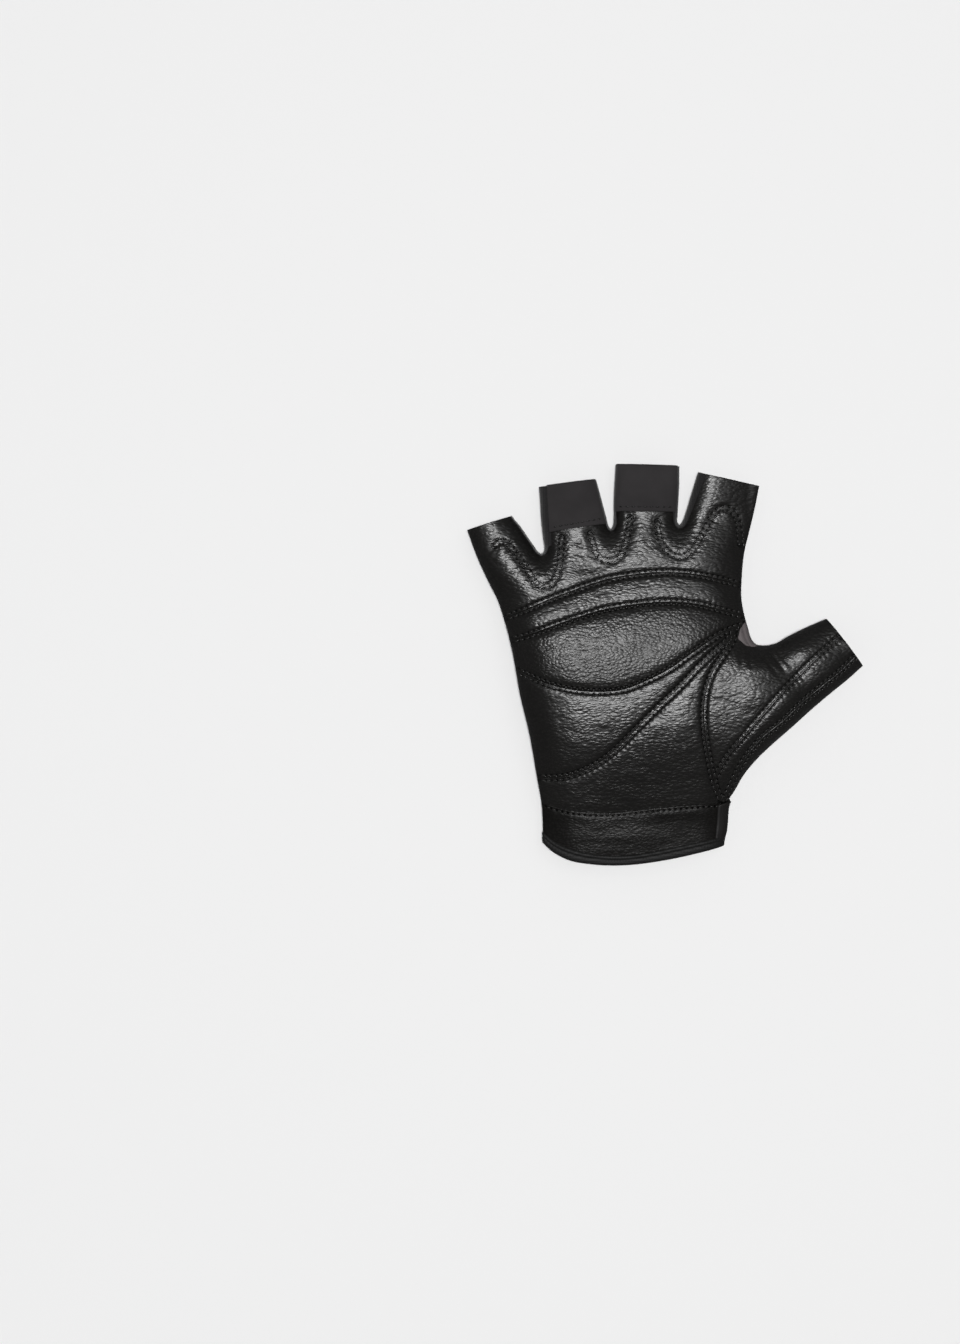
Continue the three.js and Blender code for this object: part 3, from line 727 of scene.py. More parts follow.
def filmed_knit():
    """Matte knit with a glossy film over the knuckles and the back, and two windows in the film."""
    material, tree, shader, place = new_material("stretch_knit_with_pressed_film", "#2a282a", 0.8, 0.3)
    upper = inside(tree, place, UPPER_WINDOW)
    lower = inside(tree, place, LOWER_WINDOW)
    windows = add(tree, "ShaderNodeMath", {"operation": "MAXIMUM"}, _0=upper, _1=lower).outputs[0]
    below_top = inside(tree, place, FILM_TOP + [(80, 44.3), (80, -90), (-90, -90), (-90, 8)])
    closed = add(tree, "ShaderNodeMath", {"operation": "MULTIPLY"}, _0=windows, _1=-1.0).outputs[0]
    film_in = add(tree, "ShaderNodeMath", {"operation": "MINIMUM"}, _0=below_top, _1=closed).outputs[0]
    edge = FILM_EDGE * MM / 2
    film = add(tree, "ShaderNodeMapRange", Value=film_in, From_Min=-edge, From_Max=edge).outputs["Result"]
    threads = knit_pattern(tree, place, KNIT_PITCH)
    crinkle = add(tree, "ShaderNodeTexNoise", Vector=place, Scale=scale_of(8.33), Detail=4.0)
    rough = add(tree, "ShaderNodeMapRange", Value=film, To_Min=0.82, To_Max=0.4)
    # Painted light and shade: the bare knit is lighter on its loops and darker between them.
    loop_light_and_shade = add(tree, "ShaderNodeMapRange", Value=threads, To_Min=0.75, To_Max=1.75)
    knit = add(tree, "ShaderNodeMixRGB", {"blend_type": "MULTIPLY"}, Fac=1.0, Color1=linear("#2e2c2e"),
               Color2=loop_light_and_shade.outputs["Result"])
    tint = add(tree, "ShaderNodeMixRGB", Fac=film, Color1=knit.outputs["Color"], Color2=linear("#191819"))
    tree.links.new(rough.outputs["Result"], shader.inputs["Roughness"])
    tree.links.new(tint.outputs["Color"], shader.inputs["Base Color"])
    weave = add(tree, "ShaderNodeMapRange", Value=film, To_Min=1.0, To_Max=0.25)
    height = add(tree, "ShaderNodeMath", {"operation": "MULTIPLY"}, _0=threads, _1=weave.outputs["Result"])
    bumped(tree, shader, (film, 0.5, 0.25), (crinkle.outputs["Fac"], 0.25, 0.6),
           (height.outputs[0], 0.5, 0.2))
    return material


def ribbed_elastic(name, colour):
    """Elastic with ribs along Y, 1.4 mm apart, and fine threads across them."""
    material, tree, shader, place = new_material(name, colour, 0.7, 0.3)
    ribs = stripes(tree, place, 1.4, 0)
    threads = stripes(tree, place, 0.7, 1)
    bumped(tree, shader, (ribs, 0.6, 0.35), (threads, 0.35, 0.12))
    return material


def coated_strap():
    """A moulded-looking coated tape: satin, with a fine pebble from the press."""
    material, tree, shader, place = new_material("polyurethane_coated_tape", "#191818", 0.5, 0.28)
    press = add(tree, "ShaderNodeTexVoronoi", {"feature": "SMOOTH_F1"}, Vector=place, Scale=scale_of(0.667))
    wear_and_shade = add(tree, "ShaderNodeTexNoise", Vector=place, Scale=scale_of(16.7), Detail=3.0)
    rough = add(tree, "ShaderNodeMapRange", Value=wear_and_shade.outputs["Fac"], To_Min=0.4, To_Max=0.6)
    tree.links.new(rough.outputs["Result"], shader.inputs["Roughness"])
    bumped(tree, shader, (press.outputs["Distance"], 0.3, 0.12))
    return material


def loop_pile():
    """The looped half of a touch tape: a dark, light-trapping nap."""
    material, tree, shader, place = new_material("nylon_loop_pile", "#0e0e0e", 0.95, 0.15)
    shader.inputs["Sheen Weight"].default_value = 0.4
    curls = add(tree, "ShaderNodeTexVoronoi", {"feature": "F1"}, Vector=place, Scale=scale_of(0.714))
    bumped(tree, shader, (curls.outputs["Distance"], 0.9, 0.4))
    return material


def thread_finish(name, colour):
    """Bonded polyester thread: two plies twisted, so fine slanted ridges and a waxy shine."""
    material, tree, shader, place = new_material(name, colour, 0.46, 0.4)
    twist = add(tree, "ShaderNodeTexNoise", Vector=place, Scale=scale_of(0.385), Detail=2.0)
    bumped(tree, shader, (twist.outputs["Fac"], 0.5, 0.1))
    return material


# The film's gloss beside the dull windows is what shows the two materials of the back
KNIT_FILM = filmed_knit()
# The strips are knit too, with no film: dull, and painted darker than the back's knit, nearly as dark as the
# shade in the slits
KNIT_SIDE = plain_cloth("stretch_knit_side_strip", "#1b1a1b", 0.85, 0.9, 0.15)
# Brushed cloth scatters light, so the tabs are the palest black and never gleam
TAB_CLOTH = plain_cloth("brushed_microfibre", "#2d2b2c", 0.92, 0.8, 0.10, sheen=0.12, fuzz=0.25)
# The tape of the hem is smoother, and draws a thin satin line round the mouth
BINDING = plain_cloth("woven_binding_tape", "#141414", 0.6, 1.1, 0.22, sheen=0.04, fuzz=0.35, specular=0.25)
# Ribs that run along the hand give fine dark stripes
ELASTIC = ribbed_elastic("ribbed_elastic", "#191919")
# The coating gives the strap an even, soft gleam
STRAP_TAPE = coated_strap()
# Pile swallows light, so its patch is the darkest
PILE = loop_pile()
# Waxed thread puts a small glint on each stitch, and the finer one on the tabs hardly shows
THREAD = thread_finish("bonded_polyester_thread", "#201f1e")
THREAD_ON_CLOTH = thread_finish("fine_polyester_thread", "#121111")

# %% [markdown]
# ## The corners where lines meet
#
# Every patch begins and ends at a place where a seam meets the outline, so those are worked out once. The
# finger ends are straight cuts across the tubes.

# %% Corners
def line_through(a, b, past=4.0):
    """A straight line from a to b that runs on by `past` mm at both ends."""
    a, b = np.asarray(a, float), np.asarray(b, float)
    on = (b - a) / np.linalg.norm(b - a) * past
    return np.array([a - on, a, b, b + on])


TIP_CUTS = {
    "little": line_through((-75.4, 51.1), (-58.4, 56.7)),
    "ring": line_through((-48, 67.6), (-26.8, 70.3)),
    "middle": line_through((-18.8, 76), (5.5, 75.4)),
    "index": line_through((12.9, 73.2), (35.9, 68)),
    "thumb": line_through((61.3, 17.4), (75.2, -0.6)),
}
HEM_FOLD = smooth_curve([(-50, -60.5), (-46.2, -64.6), (-42.1, -68), (-34.8, -71), (-24.9, -72.8),
                         (-14.8, -73), (-4.9, -71.6), (5.1, -69.5), (15, -67.4), (21.1, -66.1), (27, -65)])
HEM_END = smooth_curve([(-50, -64), (-46.4, -67.8), (-43.6, -70.5), (-37.2, -74), (-27.2, -75.8),
                        (-14.8, -76), (-2.4, -74.5), (10, -72), (21.5, -69), (24, -68.2), (28, -67)])

little_side, index_side, thumb_side = EDGES["little_side"], EDGES["index_side"], EDGES["thumb_side"]
ACROSS = ("knuckle", "pad_top", "pad_bottom")
left_at = {name: crossing(SEAMS[name], little_side) for name in ACROSS + ("diagonal", "cuff")}
right_at = {name: crossing(SEAMS[name], index_side) for name in ACROSS}
right_at["cuff"] = crossing(SEAMS["cuff"][len(SEAMS["cuff"]) // 2 :], thumb_side)
hem_left, hem_right = crossing(HEM_FOLD, little_side), crossing(HEM_FOLD, thumb_side)
thumb_tip = {
    "upper": crossing(index_side, TIP_CUTS["thumb"]),
    "inner": crossing(SEAMS["thumb_inner"], TIP_CUTS["thumb"]),
    "outer": crossing(SEAMS["thumb_outer"], TIP_CUTS["thumb"]),
    "lower": crossing(thumb_side, TIP_CUTS["thumb"]),
}
print("corners", {name: tuple(np.round(place, 1)) for name, place in thumb_tip.items()})


def across_palm(name, end=None):
    """A seam from the little-finger side to the thumb side, or to a given end."""
    return stretch(SEAMS[name], left_at[name], right_at[name] if end is None else end)


# %% [markdown]
# The padded seams are sewn twice, once on each side of the join. The rows are known before the leather is
# made, so that every stitch can press into it.

# %% Stitched rows
def sewn_along(line, double=True, start=0.012, end=0.988):
    """Notes a stitched line: the part of it that is sewn, and how many stitches it holds."""
    line = at_shares(line, np.linspace(start, end, 90))
    SEWN_ROWS.append((line, int(length_of(line) / STITCH_PITCH), double))


for name in ACROSS:
    sewn_along(across_palm(name))
sewn_along(across_palm("diagonal", WEB), end=0.975)
sewn_along(stretch(SEAMS["thumb_base"], CUFF_CORNER, WEB), start=0.02, end=0.95)
sewn_along(stretch(SEAMS["thumb_inner"], THUMB_CORNER, thumb_tip["inner"]))
sewn_along(stretch(SEAMS["thumb_outer"], CUFF_CORNER, thumb_tip["outer"]))
for line in SLIT_ROWS.values():
    sewn_along(line)
cuff_line = stretch(SEAMS["cuff"], left_at["cuff"], CUFF_CORNER)
sewn_along(offset(cuff_line, np.full(len(cuff_line), 0.9)), double=False, start=0.03)
print("stitches on the palm", sum(count * (2 if double else 1) for _, count, double in SEWN_ROWS))

# %% [markdown]
# ## The padded palm
#
# Four panels with foam behind them make the palm: a roll under the knuckles, a lens-shaped pad, a wide band
# that runs slantwise, and the heel of the hand. The seams between them are pressed deep by two rows of
# stitches, and that is what makes the pads look full.

# %% Palm panels
STEP = 0.5
PAD_WALL, LEATHER_WALL, KNIT_WALL = 2.2, 1.3, 1.3


def palm_patch(bottom, top, left, right, across=(True, True), along=(False, False)):
    """A patch of the palm between four lines, at the palm's height."""
    u = shares(max(length_of(bottom), length_of(top)), STEP, *across)
    v = shares(max(length_of(left), length_of(right)), STEP, *along)
    return lifted(coons(bottom, top, left, right, u, v), palm_height)


def point_line(place):
    """A side that is only a point, where two seams meet."""
    return np.array([place, place], float) + [[0, 0], [0, 1e-6]]


knuckle_roll = piece("knuckle_roll_leather", *palm_patch(
    across_palm("pad_top"), across_palm("knuckle"),
    stretch(little_side, left_at["pad_top"], left_at["knuckle"]),
    stretch(index_side, right_at["pad_top"], right_at["knuckle"])),
    SKIN_CREASED, "knuckle_roll", "palm_leather", PAD_WALL, sewn=True)

centre_pad = piece("centre_pad_leather", *palm_patch(
    across_palm("pad_bottom"), across_palm("pad_top"),
    stretch(little_side, left_at["pad_bottom"], left_at["pad_top"]),
    stretch(index_side, right_at["pad_bottom"], right_at["pad_top"])),
    SKIN_PEBBLED, "centre_pad", "palm_leather", PAD_WALL, sewn=True)

diagonal_band = piece("diagonal_band_leather", *palm_patch(
    across_palm("diagonal", WEB), across_palm("pad_bottom", WEB),
    stretch(little_side, left_at["diagonal"], left_at["pad_bottom"]),
    point_line(WEB), (True, False)),
    SKIN_CREASED, "diagonal_band", "palm_leather", PAD_WALL, sewn=True)

heel_panel = piece("heel_leather", *palm_patch(
    across_palm("cuff", CUFF_CORNER), across_palm("diagonal", WEB),
    stretch(little_side, left_at["cuff"], left_at["diagonal"]),
    stretch(SEAMS["thumb_base"], CUFF_CORNER, WEB), (True, False)),
    SKIN_CREASED, "heel_panel", "palm_leather", PAD_WALL, sewn=True)

# %% [markdown]
# ## The thumb and the cuff
#
# The thumb is its own tube of thinner leather, let into the palm by a curved seam. A strip runs up its
# side between two double rows, and a narrow edge piece lies beyond it. The cuff is a plain band under the
# heel. They are patches like the palm's, at the same height, but with thinner walls and no foam.

# %% Thumb and cuff
piece("thumb_leather", *palm_patch(
    stretch(SEAMS["thumb_inner"], THUMB_CORNER, thumb_tip["inner"]),
    chain(stretch(SEAMS["pad_bottom"], WEB, right_at["pad_bottom"]),
          stretch(index_side, right_at["pad_bottom"], thumb_tip["upper"])),
    stretch(SEAMS["thumb_base"], THUMB_CORNER, WEB),
    stretch(TIP_CUTS["thumb"], thumb_tip["inner"], thumb_tip["upper"]), (False, False), (False, True)),
    SKIN_THUMB, "thumb_panel", "thumb_leather", LEATHER_WALL, sewn=True)

piece("thumb_strip_leather", *palm_patch(
    stretch(SEAMS["thumb_outer"], CUFF_CORNER, thumb_tip["outer"]),
    chain(stretch(SEAMS["thumb_base"], CUFF_CORNER, THUMB_CORNER),
          stretch(SEAMS["thumb_inner"], THUMB_CORNER, thumb_tip["inner"])),
    point_line(CUFF_CORNER),
    stretch(TIP_CUTS["thumb"], thumb_tip["outer"], thumb_tip["inner"]), (False, False)),
    SKIN_THUMB, "thumb_strip", "thumb_leather", LEATHER_WALL, sewn=True)

piece("thumb_edge_leather", *palm_patch(
    stretch(thumb_side, right_at["cuff"], thumb_tip["lower"]),
    stretch(SEAMS["thumb_outer"], CUFF_CORNER, thumb_tip["outer"]),
    stretch(SEAMS["cuff"], right_at["cuff"], CUFF_CORNER),
    stretch(TIP_CUTS["thumb"], thumb_tip["lower"], thumb_tip["outer"]), (False, False), (True, False)),
    SKIN_THUMB, "thumb_edge", "thumb_leather", LEATHER_WALL, sewn=True)

piece("cuff_leather", *palm_patch(
    stretch(HEM_FOLD, hem_left, hem_right),
    stretch(SEAMS["cuff"], left_at["cuff"], right_at["cuff"]),
    stretch(little_side, hem_left, left_at["cuff"]),
    stretch(thumb_side, hem_right, right_at["cuff"])),
    SKIN_CUFF, "cuff_palm", "palm_leather", LEATHER_WALL, sewn=True)

# %% [markdown]
# ## Finger roots and side strips
#
# The leather over the finger roots is one piece, cut like a comb. Each slit is lined by a strip of knit
# that runs round its foot and covers the sides of the two fingers. A strip is a profile carried along the
# slit: it comes over from the palm side, goes down and turns under. Its width on the palm side changes
# along the slit, so it has a table of its own.

# %% Side strips of the slits
# How wide the strip shows on the palm side: (share along the slit from the little-finger side, mm)
STRIP_WIDTH = {
    "little_ring": [(0, 0.7), (0.35, 0.8), (0.46, 1.3), (0.56, 3.0), (0.75, 3.4), (1, 3.3)],
    "ring_middle": [(0, 0.7), (0.35, 0.8), (0.5, 1.3), (0.6, 0.8), (1, 0.7)],
    "middle_index": [(0, 2.3), (0.3, 2.2), (0.5, 1.5), (0.65, 1.9), (1, 3.1)],
}
BACK_STRIP = 1.6  # and on the back


def outwards(grid, faces, towards):
    """The quads turned so that, taken together, they face a point."""
    du, dv = np.gradient(grid, axis=1), np.gradient(grid, axis=0)
    facing_it = (np.cross(du, dv) * (np.asarray(towards) - grid)).sum()
    return faces if facing_it > 0 else faces[:, ::-1]


SLIT_ENDS = {
    "little_ring": ("little", "ring"),
    "ring_middle": ("ring", "middle"),
    "middle_index": ("middle", "index"),
}
SLIT_STEPS = 150
STRIP_ROWS = 12  # on each side of the strip


def slit_line(name):
    """A slit's outline from one finger end, round its foot, to the next finger end, in even steps."""
    whole = EDGES[name]
    before, after = SLIT_ENDS[name]
    line = stretch(whole, crossing(whole, TIP_CUTS[before]), crossing(whole[::-1], TIP_CUTS[after]))
    return at_shares(line, np.linspace(0, 1, SLIT_STEPS))


strip_edge = {}
for name in SLIT_ENDS:
    line = slit_line(name)
    widths = profile(STRIP_WIDTH[name])(np.linspace(0, 1, SLIT_STEPS))
    strip_edge[name] = offset(line, widths)
    rows = []
    for t in np.linspace(1, 0, STRIP_ROWS):
        place = offset(line, widths * t**2)
        rows.append(np.column_stack([place, palm_height(place, sewn=False) - 0.25 * np.sin(math.pi * t)]))
    for t in np.linspace(0, 1, STRIP_ROWS)[1:]:
        place = offset(line, np.full(len(line), BACK_STRIP) * t**2)
        rows.append(np.column_stack([place, back_height(place)]))
    grid = np.array(rows)
    past_the_slit = (line[:, 0].mean(), 90, 8)  # a place beyond the open end of the slit, mm
    faces = outwards(grid, grid_faces(*grid.shape[:2]), past_the_slit)
    piece(f"side_strip_{name}", grid.reshape(-1, 3), faces, KNIT_SIDE, f"fourchette_{name}", "stretch_knit",
          LEATHER_WALL)

# %% [markdown]
# Each finger is a column of the comb: a root between the seam and the feet of the slits, and a tube above
# it. Both are patches that share the line across the foot of the finger, so their points weld.

# %% Finger columns
FINGERS = ("little", "ring", "middle", "index")
FOOT_SIDE = {"little": (-69, 35.6), "index": (31.3, 47.6)}  # where the outer fingers begin, on the outline
ROOT_LONG, TUBE_LONG = 22, 26  # about how long the roots and the tubes are, for the number of steps, mm


def nearest_on(line, place):
    """The point of a line that is closest to a place."""
    first, run = line[:-1], np.diff(line, axis=0)
    t = np.clip(((place - first) * run).sum(1) / (run**2).sum(1), 0, 1)
    spots = first + t[:, None] * run
    return spots[np.argmin(((spots - place) ** 2).sum(1))]


def slit_arms(edge):
    """A slit's lining edge, split at its foot: the arm up each of its two fingers, and the foot."""
    k = int(np.argmin(edge[:, 1]))
    return edge[: k + 1][::-1], edge[k:], edge[k]


def comb(edges, base, base_left, base_right, side_lines, root_steps, tip_steps, height, up, step):
    """The finger columns on a base line. `side_lines` are the outer sides from the base to each outer foot.

    Each column is a Coons patch up to the feet of its slits, and a second one from there to its end."""
    arms = [slit_arms(edges[name]) for name in SLIT_ENDS]
    feet = [nearest_on(little_side, FOOT_SIDE["little"])] + [arm[2] for arm in arms]
    feet.append(nearest_on(index_side, FOOT_SIDE["index"]))
    starts = [base_left] + [nearest_on(base, foot) for foot in feet[1:-1]] + [base_right]
    inner = [np.array([a, b]) for a, b in zip(starts[1:-1], feet[1:-1])]
    shared = [side_lines[0]] + inner + [side_lines[1]]
    tip_left = crossing(little_side, TIP_CUTS["little"])
    tip_right = crossing(index_side, TIP_CUTS["index"])
    left_arms = [stretch(little_side, feet[0], tip_left)] + [arm[1] for arm in arms]
    right_arms = [arm[0] for arm in arms] + [stretch(index_side, feet[-1], tip_right)]
    parts = []
    for k in range(len(FINGERS)):
        across_foot = np.array([feet[k], feet[k + 1]])
        u = shares(length_of(across_foot), step, True, True)
        v = np.linspace(0, 1, root_steps)
        root = coons(stretch(base, starts[k], starts[k + 1]), across_foot, shared[k], shared[k + 1], u, v)
        tip = np.array([left_arms[k][-1], right_arms[k][-1]])
        v = np.linspace(0, 1, tip_steps)
        tube = coons(across_foot, tip, left_arms[k], right_arms[k], u, v)
        parts += [lifted(root, height, up), lifted(tube, height, up)]
    return joined(parts)


piece("finger_root_leather", *comb(
    strip_edge, SEAMS["knuckle"], left_at["knuckle"], right_at["knuckle"],
    (stretch(little_side, left_at["knuckle"], nearest_on(little_side, FOOT_SIDE["little"])),
     stretch(index_side, right_at["knuckle"], nearest_on(index_side, FOOT_SIDE["index"]))),
    int(ROOT_LONG / STEP), int(TUBE_LONG / STEP), palm_height, True, STEP),
    SKIN_CREASED, "palm_upper", "palm_leather", LEATHER_WALL, sewn=True)

# %% [markdown]
# At the web between thumb and index finger the edge of the leather is rolled over into a small crescent; its
# pale grey is a painted highlight of the fold. It is a patch between the outline and an arc, with two soft
# ridges.

# %% Web fold
WEB_LIFT, WEB_RIDGE, WEB_WALL = 0.35, 0.5, 0.8  # mm
web_outer = stretch(index_side, nearest_on(index_side, (30.6, 16.4)), nearest_on(index_side, (35.6, 7.3)))
web_inner = smooth_curve([web_outer[0], (29, 14.4), (27.9, 12.6), (27.6, 10.6), (28.6, 8.6), (30.8, 7.3),
                          (33.2, 6.9), web_outer[-1]], 0.4)


def web_height(points):
    """The palm, raised a little, with rounded ridges that run along the edge about 2 mm apart."""
    d = distance(points, web_outer)
    ridges = np.abs(np.sin(d * 1.5)) * ramp(d, 0, 0.8)
    return palm_height(points, sewn=False) + WEB_LIFT + WEB_RIDGE * ridges


quarter_turn = np.linspace(0, np.pi / 2, 12)
finer_outwards = np.concatenate([np.linspace(0, 0.7, 16)[:-1], 1 - 0.3 * np.cos(quarter_turn)])
web_grid = coons(web_inner, web_outer, point_line(web_outer[0]), point_line(web_outer[-1]),
                 np.linspace(0, 1, 40), finer_outwards)
piece("web_fold_leather", *lifted(web_grid, web_height), SKIN_FOLD_HIGHLIGHT, slot="thumb_leather", wall=WEB_WALL)

# %% [markdown]
# ## Pull tabs
#
# The ring and middle fingers end in tabs of brushed microfibre, to pull the glove off by. A tab could hang
# loose as simulated cloth, but here it lies flat on the finger. So it is a patch over the leather, which
# follows the finger a little above it and is a little flatter.

# %% Pull tabs
TAB_LIFT, TAB_WALL = 1.0, 0.8  # how far it lies over the leather, and how thick it is, mm
TAB_FLATTER = 0.25  # how much of the finger's roundness the tab leaves out
TAB_ROW = 1.7  # how far its row of stitches lies from the lower edge, mm
TABS = {
    "ring": {"bottom": ((-44.2, 50.3), (-22.7, 53.6)), "top": ((-45.2, 68.1), (-26.7, 70.5))},
    "middle": {"bottom": ((-19.3, 58.2), (4.2, 58)), "top": ((-18.7, 76.2), (4.6, 75.6))},
}


def tab_height(points):
    """A tab lies just over the finger, a little flatter than it."""
    z = palm_height(points, sewn=False)
    top = top_along_hand(points[:, 1])
    return z + TAB_LIFT + TAB_FLATTER * (top - z) * ramp(z, 6, 10)


for finger, cut in TABS.items():
    low, high = np.array(cut["bottom"], float), np.array(cut["top"], float)
    near, far = np.array([low[0], high[0]]), np.array([low[1], high[1]])
    u = shares(length_of(low), 0.6, True, True)
    tab = coons(low, high, near, far, u, np.linspace(0, 1, 36))
    piece(f"pull_tab_{finger}_cloth", *lifted(tab, tab_height), TAB_CLOTH, f"pull_tab_{finger}", "tab_cloth",
          TAB_WALL)

# %% [markdown]
# ## The back
#
# The back is one piece of knit from the finger ends to the cuff, and it lies flat on the floor. The thumb
# has its own back. The cuff is ribbed elastic, with a patch of loop pile where the strap's tip takes hold.

# %% Back panels
BACK_STEP = 0.9
BACK_LONG = 92  # about how long the back is from the cuff to the finger roots, mm
THIN_WALL = 0.25  # of the pile and the tape of the hem, mm
THUMB_SEAM = smooth_curve([(36.8, 10), (36.9, 6.5), (37.8, 2.5), (38.4, -1.6), (37.2, -9.5), (34.4, -17),
                           (31.6, -28), (31, -36), (30.4, -46)])
thumb_root_high = crossing(THUMB_SEAM, index_side)
thumb_root_low = crossing(THUMB_SEAM[::-1], thumb_side)
BACK_CUFF = smooth_curve([left_at["cuff"], (-30, -51), (-10, -50.8), (10, -51.4), right_at["cuff"]])

back_edge = {}
for name in SLIT_ENDS:
    line = slit_line(name)
    moved = strip_edge[name] - line
    moved /= np.linalg.norm(moved, axis=1)[:, None]
    back_edge[name] = line + moved * BACK_STRIP

index_foot = nearest_on(index_side, FOOT_SIDE["index"])
piece("back_knit", *comb(
    back_edge, BACK_CUFF, left_at["cuff"], right_at["cuff"],
    (stretch(little_side, left_at["cuff"], nearest_on(little_side, FOOT_SIDE["little"])),
     chain(stretch(thumb_side, right_at["cuff"], thumb_root_low),
           stretch(THUMB_SEAM, thumb_root_low, thumb_root_high),
           stretch(index_side, thumb_root_high, index_foot))),
    int(BACK_LONG / BACK_STEP), int(TUBE_LONG / BACK_STEP), back_height, False, BACK_STEP),
    KNIT_FILM, "back_panel", "stretch_knit", KNIT_WALL)


def back_patch(bottom, top, left, right, across, along, step=BACK_STEP):
    """A patch of the back between four lines, facing down."""
    u = shares(max(length_of(bottom), length_of(top)), step, *across)
    v = shares(max(length_of(left), length_of(right)), step, *along)
    return lifted(coons(bottom, top, left, right, u, v), back_height, up=False)


piece("thumb_back_leather", *back_patch(
    stretch(thumb_side, thumb_root_low, thumb_tip["lower"]),
    stretch(index_side, thumb_root_high, thumb_tip["upper"]),
    stretch(THUMB_SEAM, thumb_root_low, thumb_root_high),
    stretch(TIP_CUTS["thumb"], thumb_tip["lower"], thumb_tip["upper"]), (False, False), (True, True)),
    SKIN_THUMB, "thumb_back", "thumb_leather", LEATHER_WALL)

piece("cuff_elastic", *back_patch(
    stretch(HEM_FOLD, hem_left, hem_right), BACK_CUFF,
    stretch(little_side, hem_left, left_at["cuff"]),
    stretch(thumb_side, hem_right, right_at["cuff"]), (True, True), (False, False)),
    ELASTIC, "cuff_back", "cuff_elastic", KNIT_WALL)

PILE_PROUD = 0.3
pile_low = np.array([(-29.8, -69.3), (-15.5, -70.2)])
pile_high = np.array([(-29.2, -54.6), (-14.5, -54.4)])
pile_left, pile_right = np.stack([pile_low, pile_high], 1)
evenly = np.linspace(0, 1, 24)
pile_grid = coons(pile_low, pile_high, pile_left, pile_right, evenly, evenly)
piece("loop_pile_patch", *lifted(pile_grid, lambda p: back_height(p) - PILE_PROUD, up=False), PILE,
      "loop_patch", "loop_pile", THIN_WALL)

# %% [markdown]
# ## The closure strap
#
# The strap is sewn on at the thumb side of the palm, goes round the edge of the cuff and lies across its
# back, where its round tip presses on the pile. Cut flat and bent, it would need fitting to the cuff. So
# it is a band carried along that path on the cuff's own surface and then raised off it: a table gives its
# two edges.

# %% Strap
STRAP_PROUD, STRAP_WALL, STRAP_ROWS = 1.2, 1.3, 26
STRAP_LONG = 47.8  # from the edge of the cuff to the tip, mm
SEWN_ON = 3.4  # how far the strap reaches over the edge onto the palm side, mm
SUNK = 1.05  # how much less proud it is at the end that is sewn on, mm
PRESSED_FLAT = 0.55  # the share that its lower edge loses where the hem takes it
INSIDE_CUFF = np.array([-10.0, -60.0, 8.5])  # a place in the hollow of the cuff, mm
# Along the band from the edge of the cuff (minus is the palm side), then its upper and its lower edge, mm
STRAP_TABLE = [(-3.4, -53.6, -66.4), (-2, -53, -66.8), (0, -51.8, -67.4), (3, -47.9, -69.4),
               (12, -50, -71.2), (21, -51.5, -71.8), (33, -52.4, -71.4), (38.5, -54.6, -70.9),
               (43, -58.2, -70), (46.5, -62.4, -68.3), (47.9, -65.4, -65.5)]
strap_upper = profile([(row[0], row[1]) for row in STRAP_TABLE])
strap_lower = profile([(row[0], row[2]) for row in STRAP_TABLE])


def edge_x(y):
    """Where the thumb-side edge of the cuff is at a level of the picture."""
    line = thumb_side[np.argsort(thumb_side[:, 1])]
    return np.interp(y, line[:, 1], line[:, 0])


def band(path, rows):
    """Points on the cuff along a path over its edge: (rows, path, 3)."""
    share = np.linspace(0, 1, rows)[:, None]
    y = strap_lower(path)[None] * (1 - share) + strap_upper(path)[None] * share
    x = edge_x(y) - np.abs(path)[None]
    flat = np.stack([x, y], -1).reshape(-1, 2)
    over = np.broadcast_to(path[None] < 0, x.shape).reshape(-1)
    z = np.where(over, palm_height(flat, sewn=False), back_height(flat))
    return np.column_stack([flat, z]).reshape(rows, len(path), 3)


def raised(grid, distance_out, inside_point):
    """The grid moved along its normals, away from a point inside the glove."""
    du, dv = np.gradient(grid, axis=1), np.gradient(grid, axis=0)
    normal = np.cross(du, dv)
    normal /= np.maximum(np.linalg.norm(normal, axis=2), 1e-9)[..., None]
    outward = np.sign(((grid - inside_point) * normal).sum())
    return grid + normal * outward * distance_out


round_in = EDGE_ROUND * (1 - np.cos(np.linspace(0, np.pi / 2, 15)))
strap_path = np.concatenate([-round_in[:0:-1][round_in[:0:-1] < SEWN_ON], [0], round_in[1:],
                             np.linspace(EDGE_ROUND, STRAP_LONG, 48)[1:]])
proud = STRAP_PROUD - SUNK * ramp(-strap_path, 0, SEWN_ON)
sewn_down = (1 - ramp(np.linspace(0, 1, STRAP_ROWS), 0, 0.3))[:, None] * (1 - ramp(strap_path, 2, 9))[None]
proud = proud[None] * (1 - PRESSED_FLAT * sewn_down)
strap_grid = raised(band(strap_path, STRAP_ROWS), proud[..., None], INSIDE_CUFF)
strap_grid[..., 2] = np.maximum(strap_grid[..., 2], 0.04)
strap_faces = grid_faces(*strap_grid.shape[:2])
piece("closure_strap_tape", strap_grid.reshape(-1, 3), strap_faces, STRAP_TAPE, "closure_strap",
      "strap_cover", STRAP_WALL)

# %% [markdown]
# ## The hem
#
# A folded tape binds the mouth of the glove. A curve with a bevel would not follow an edge that is flat on
# one side and round on the other. So its profile, a flat U that hugs the edge, is carried round the whole
# mouth as a grid: over the palm side from left to right, and back under the other side.

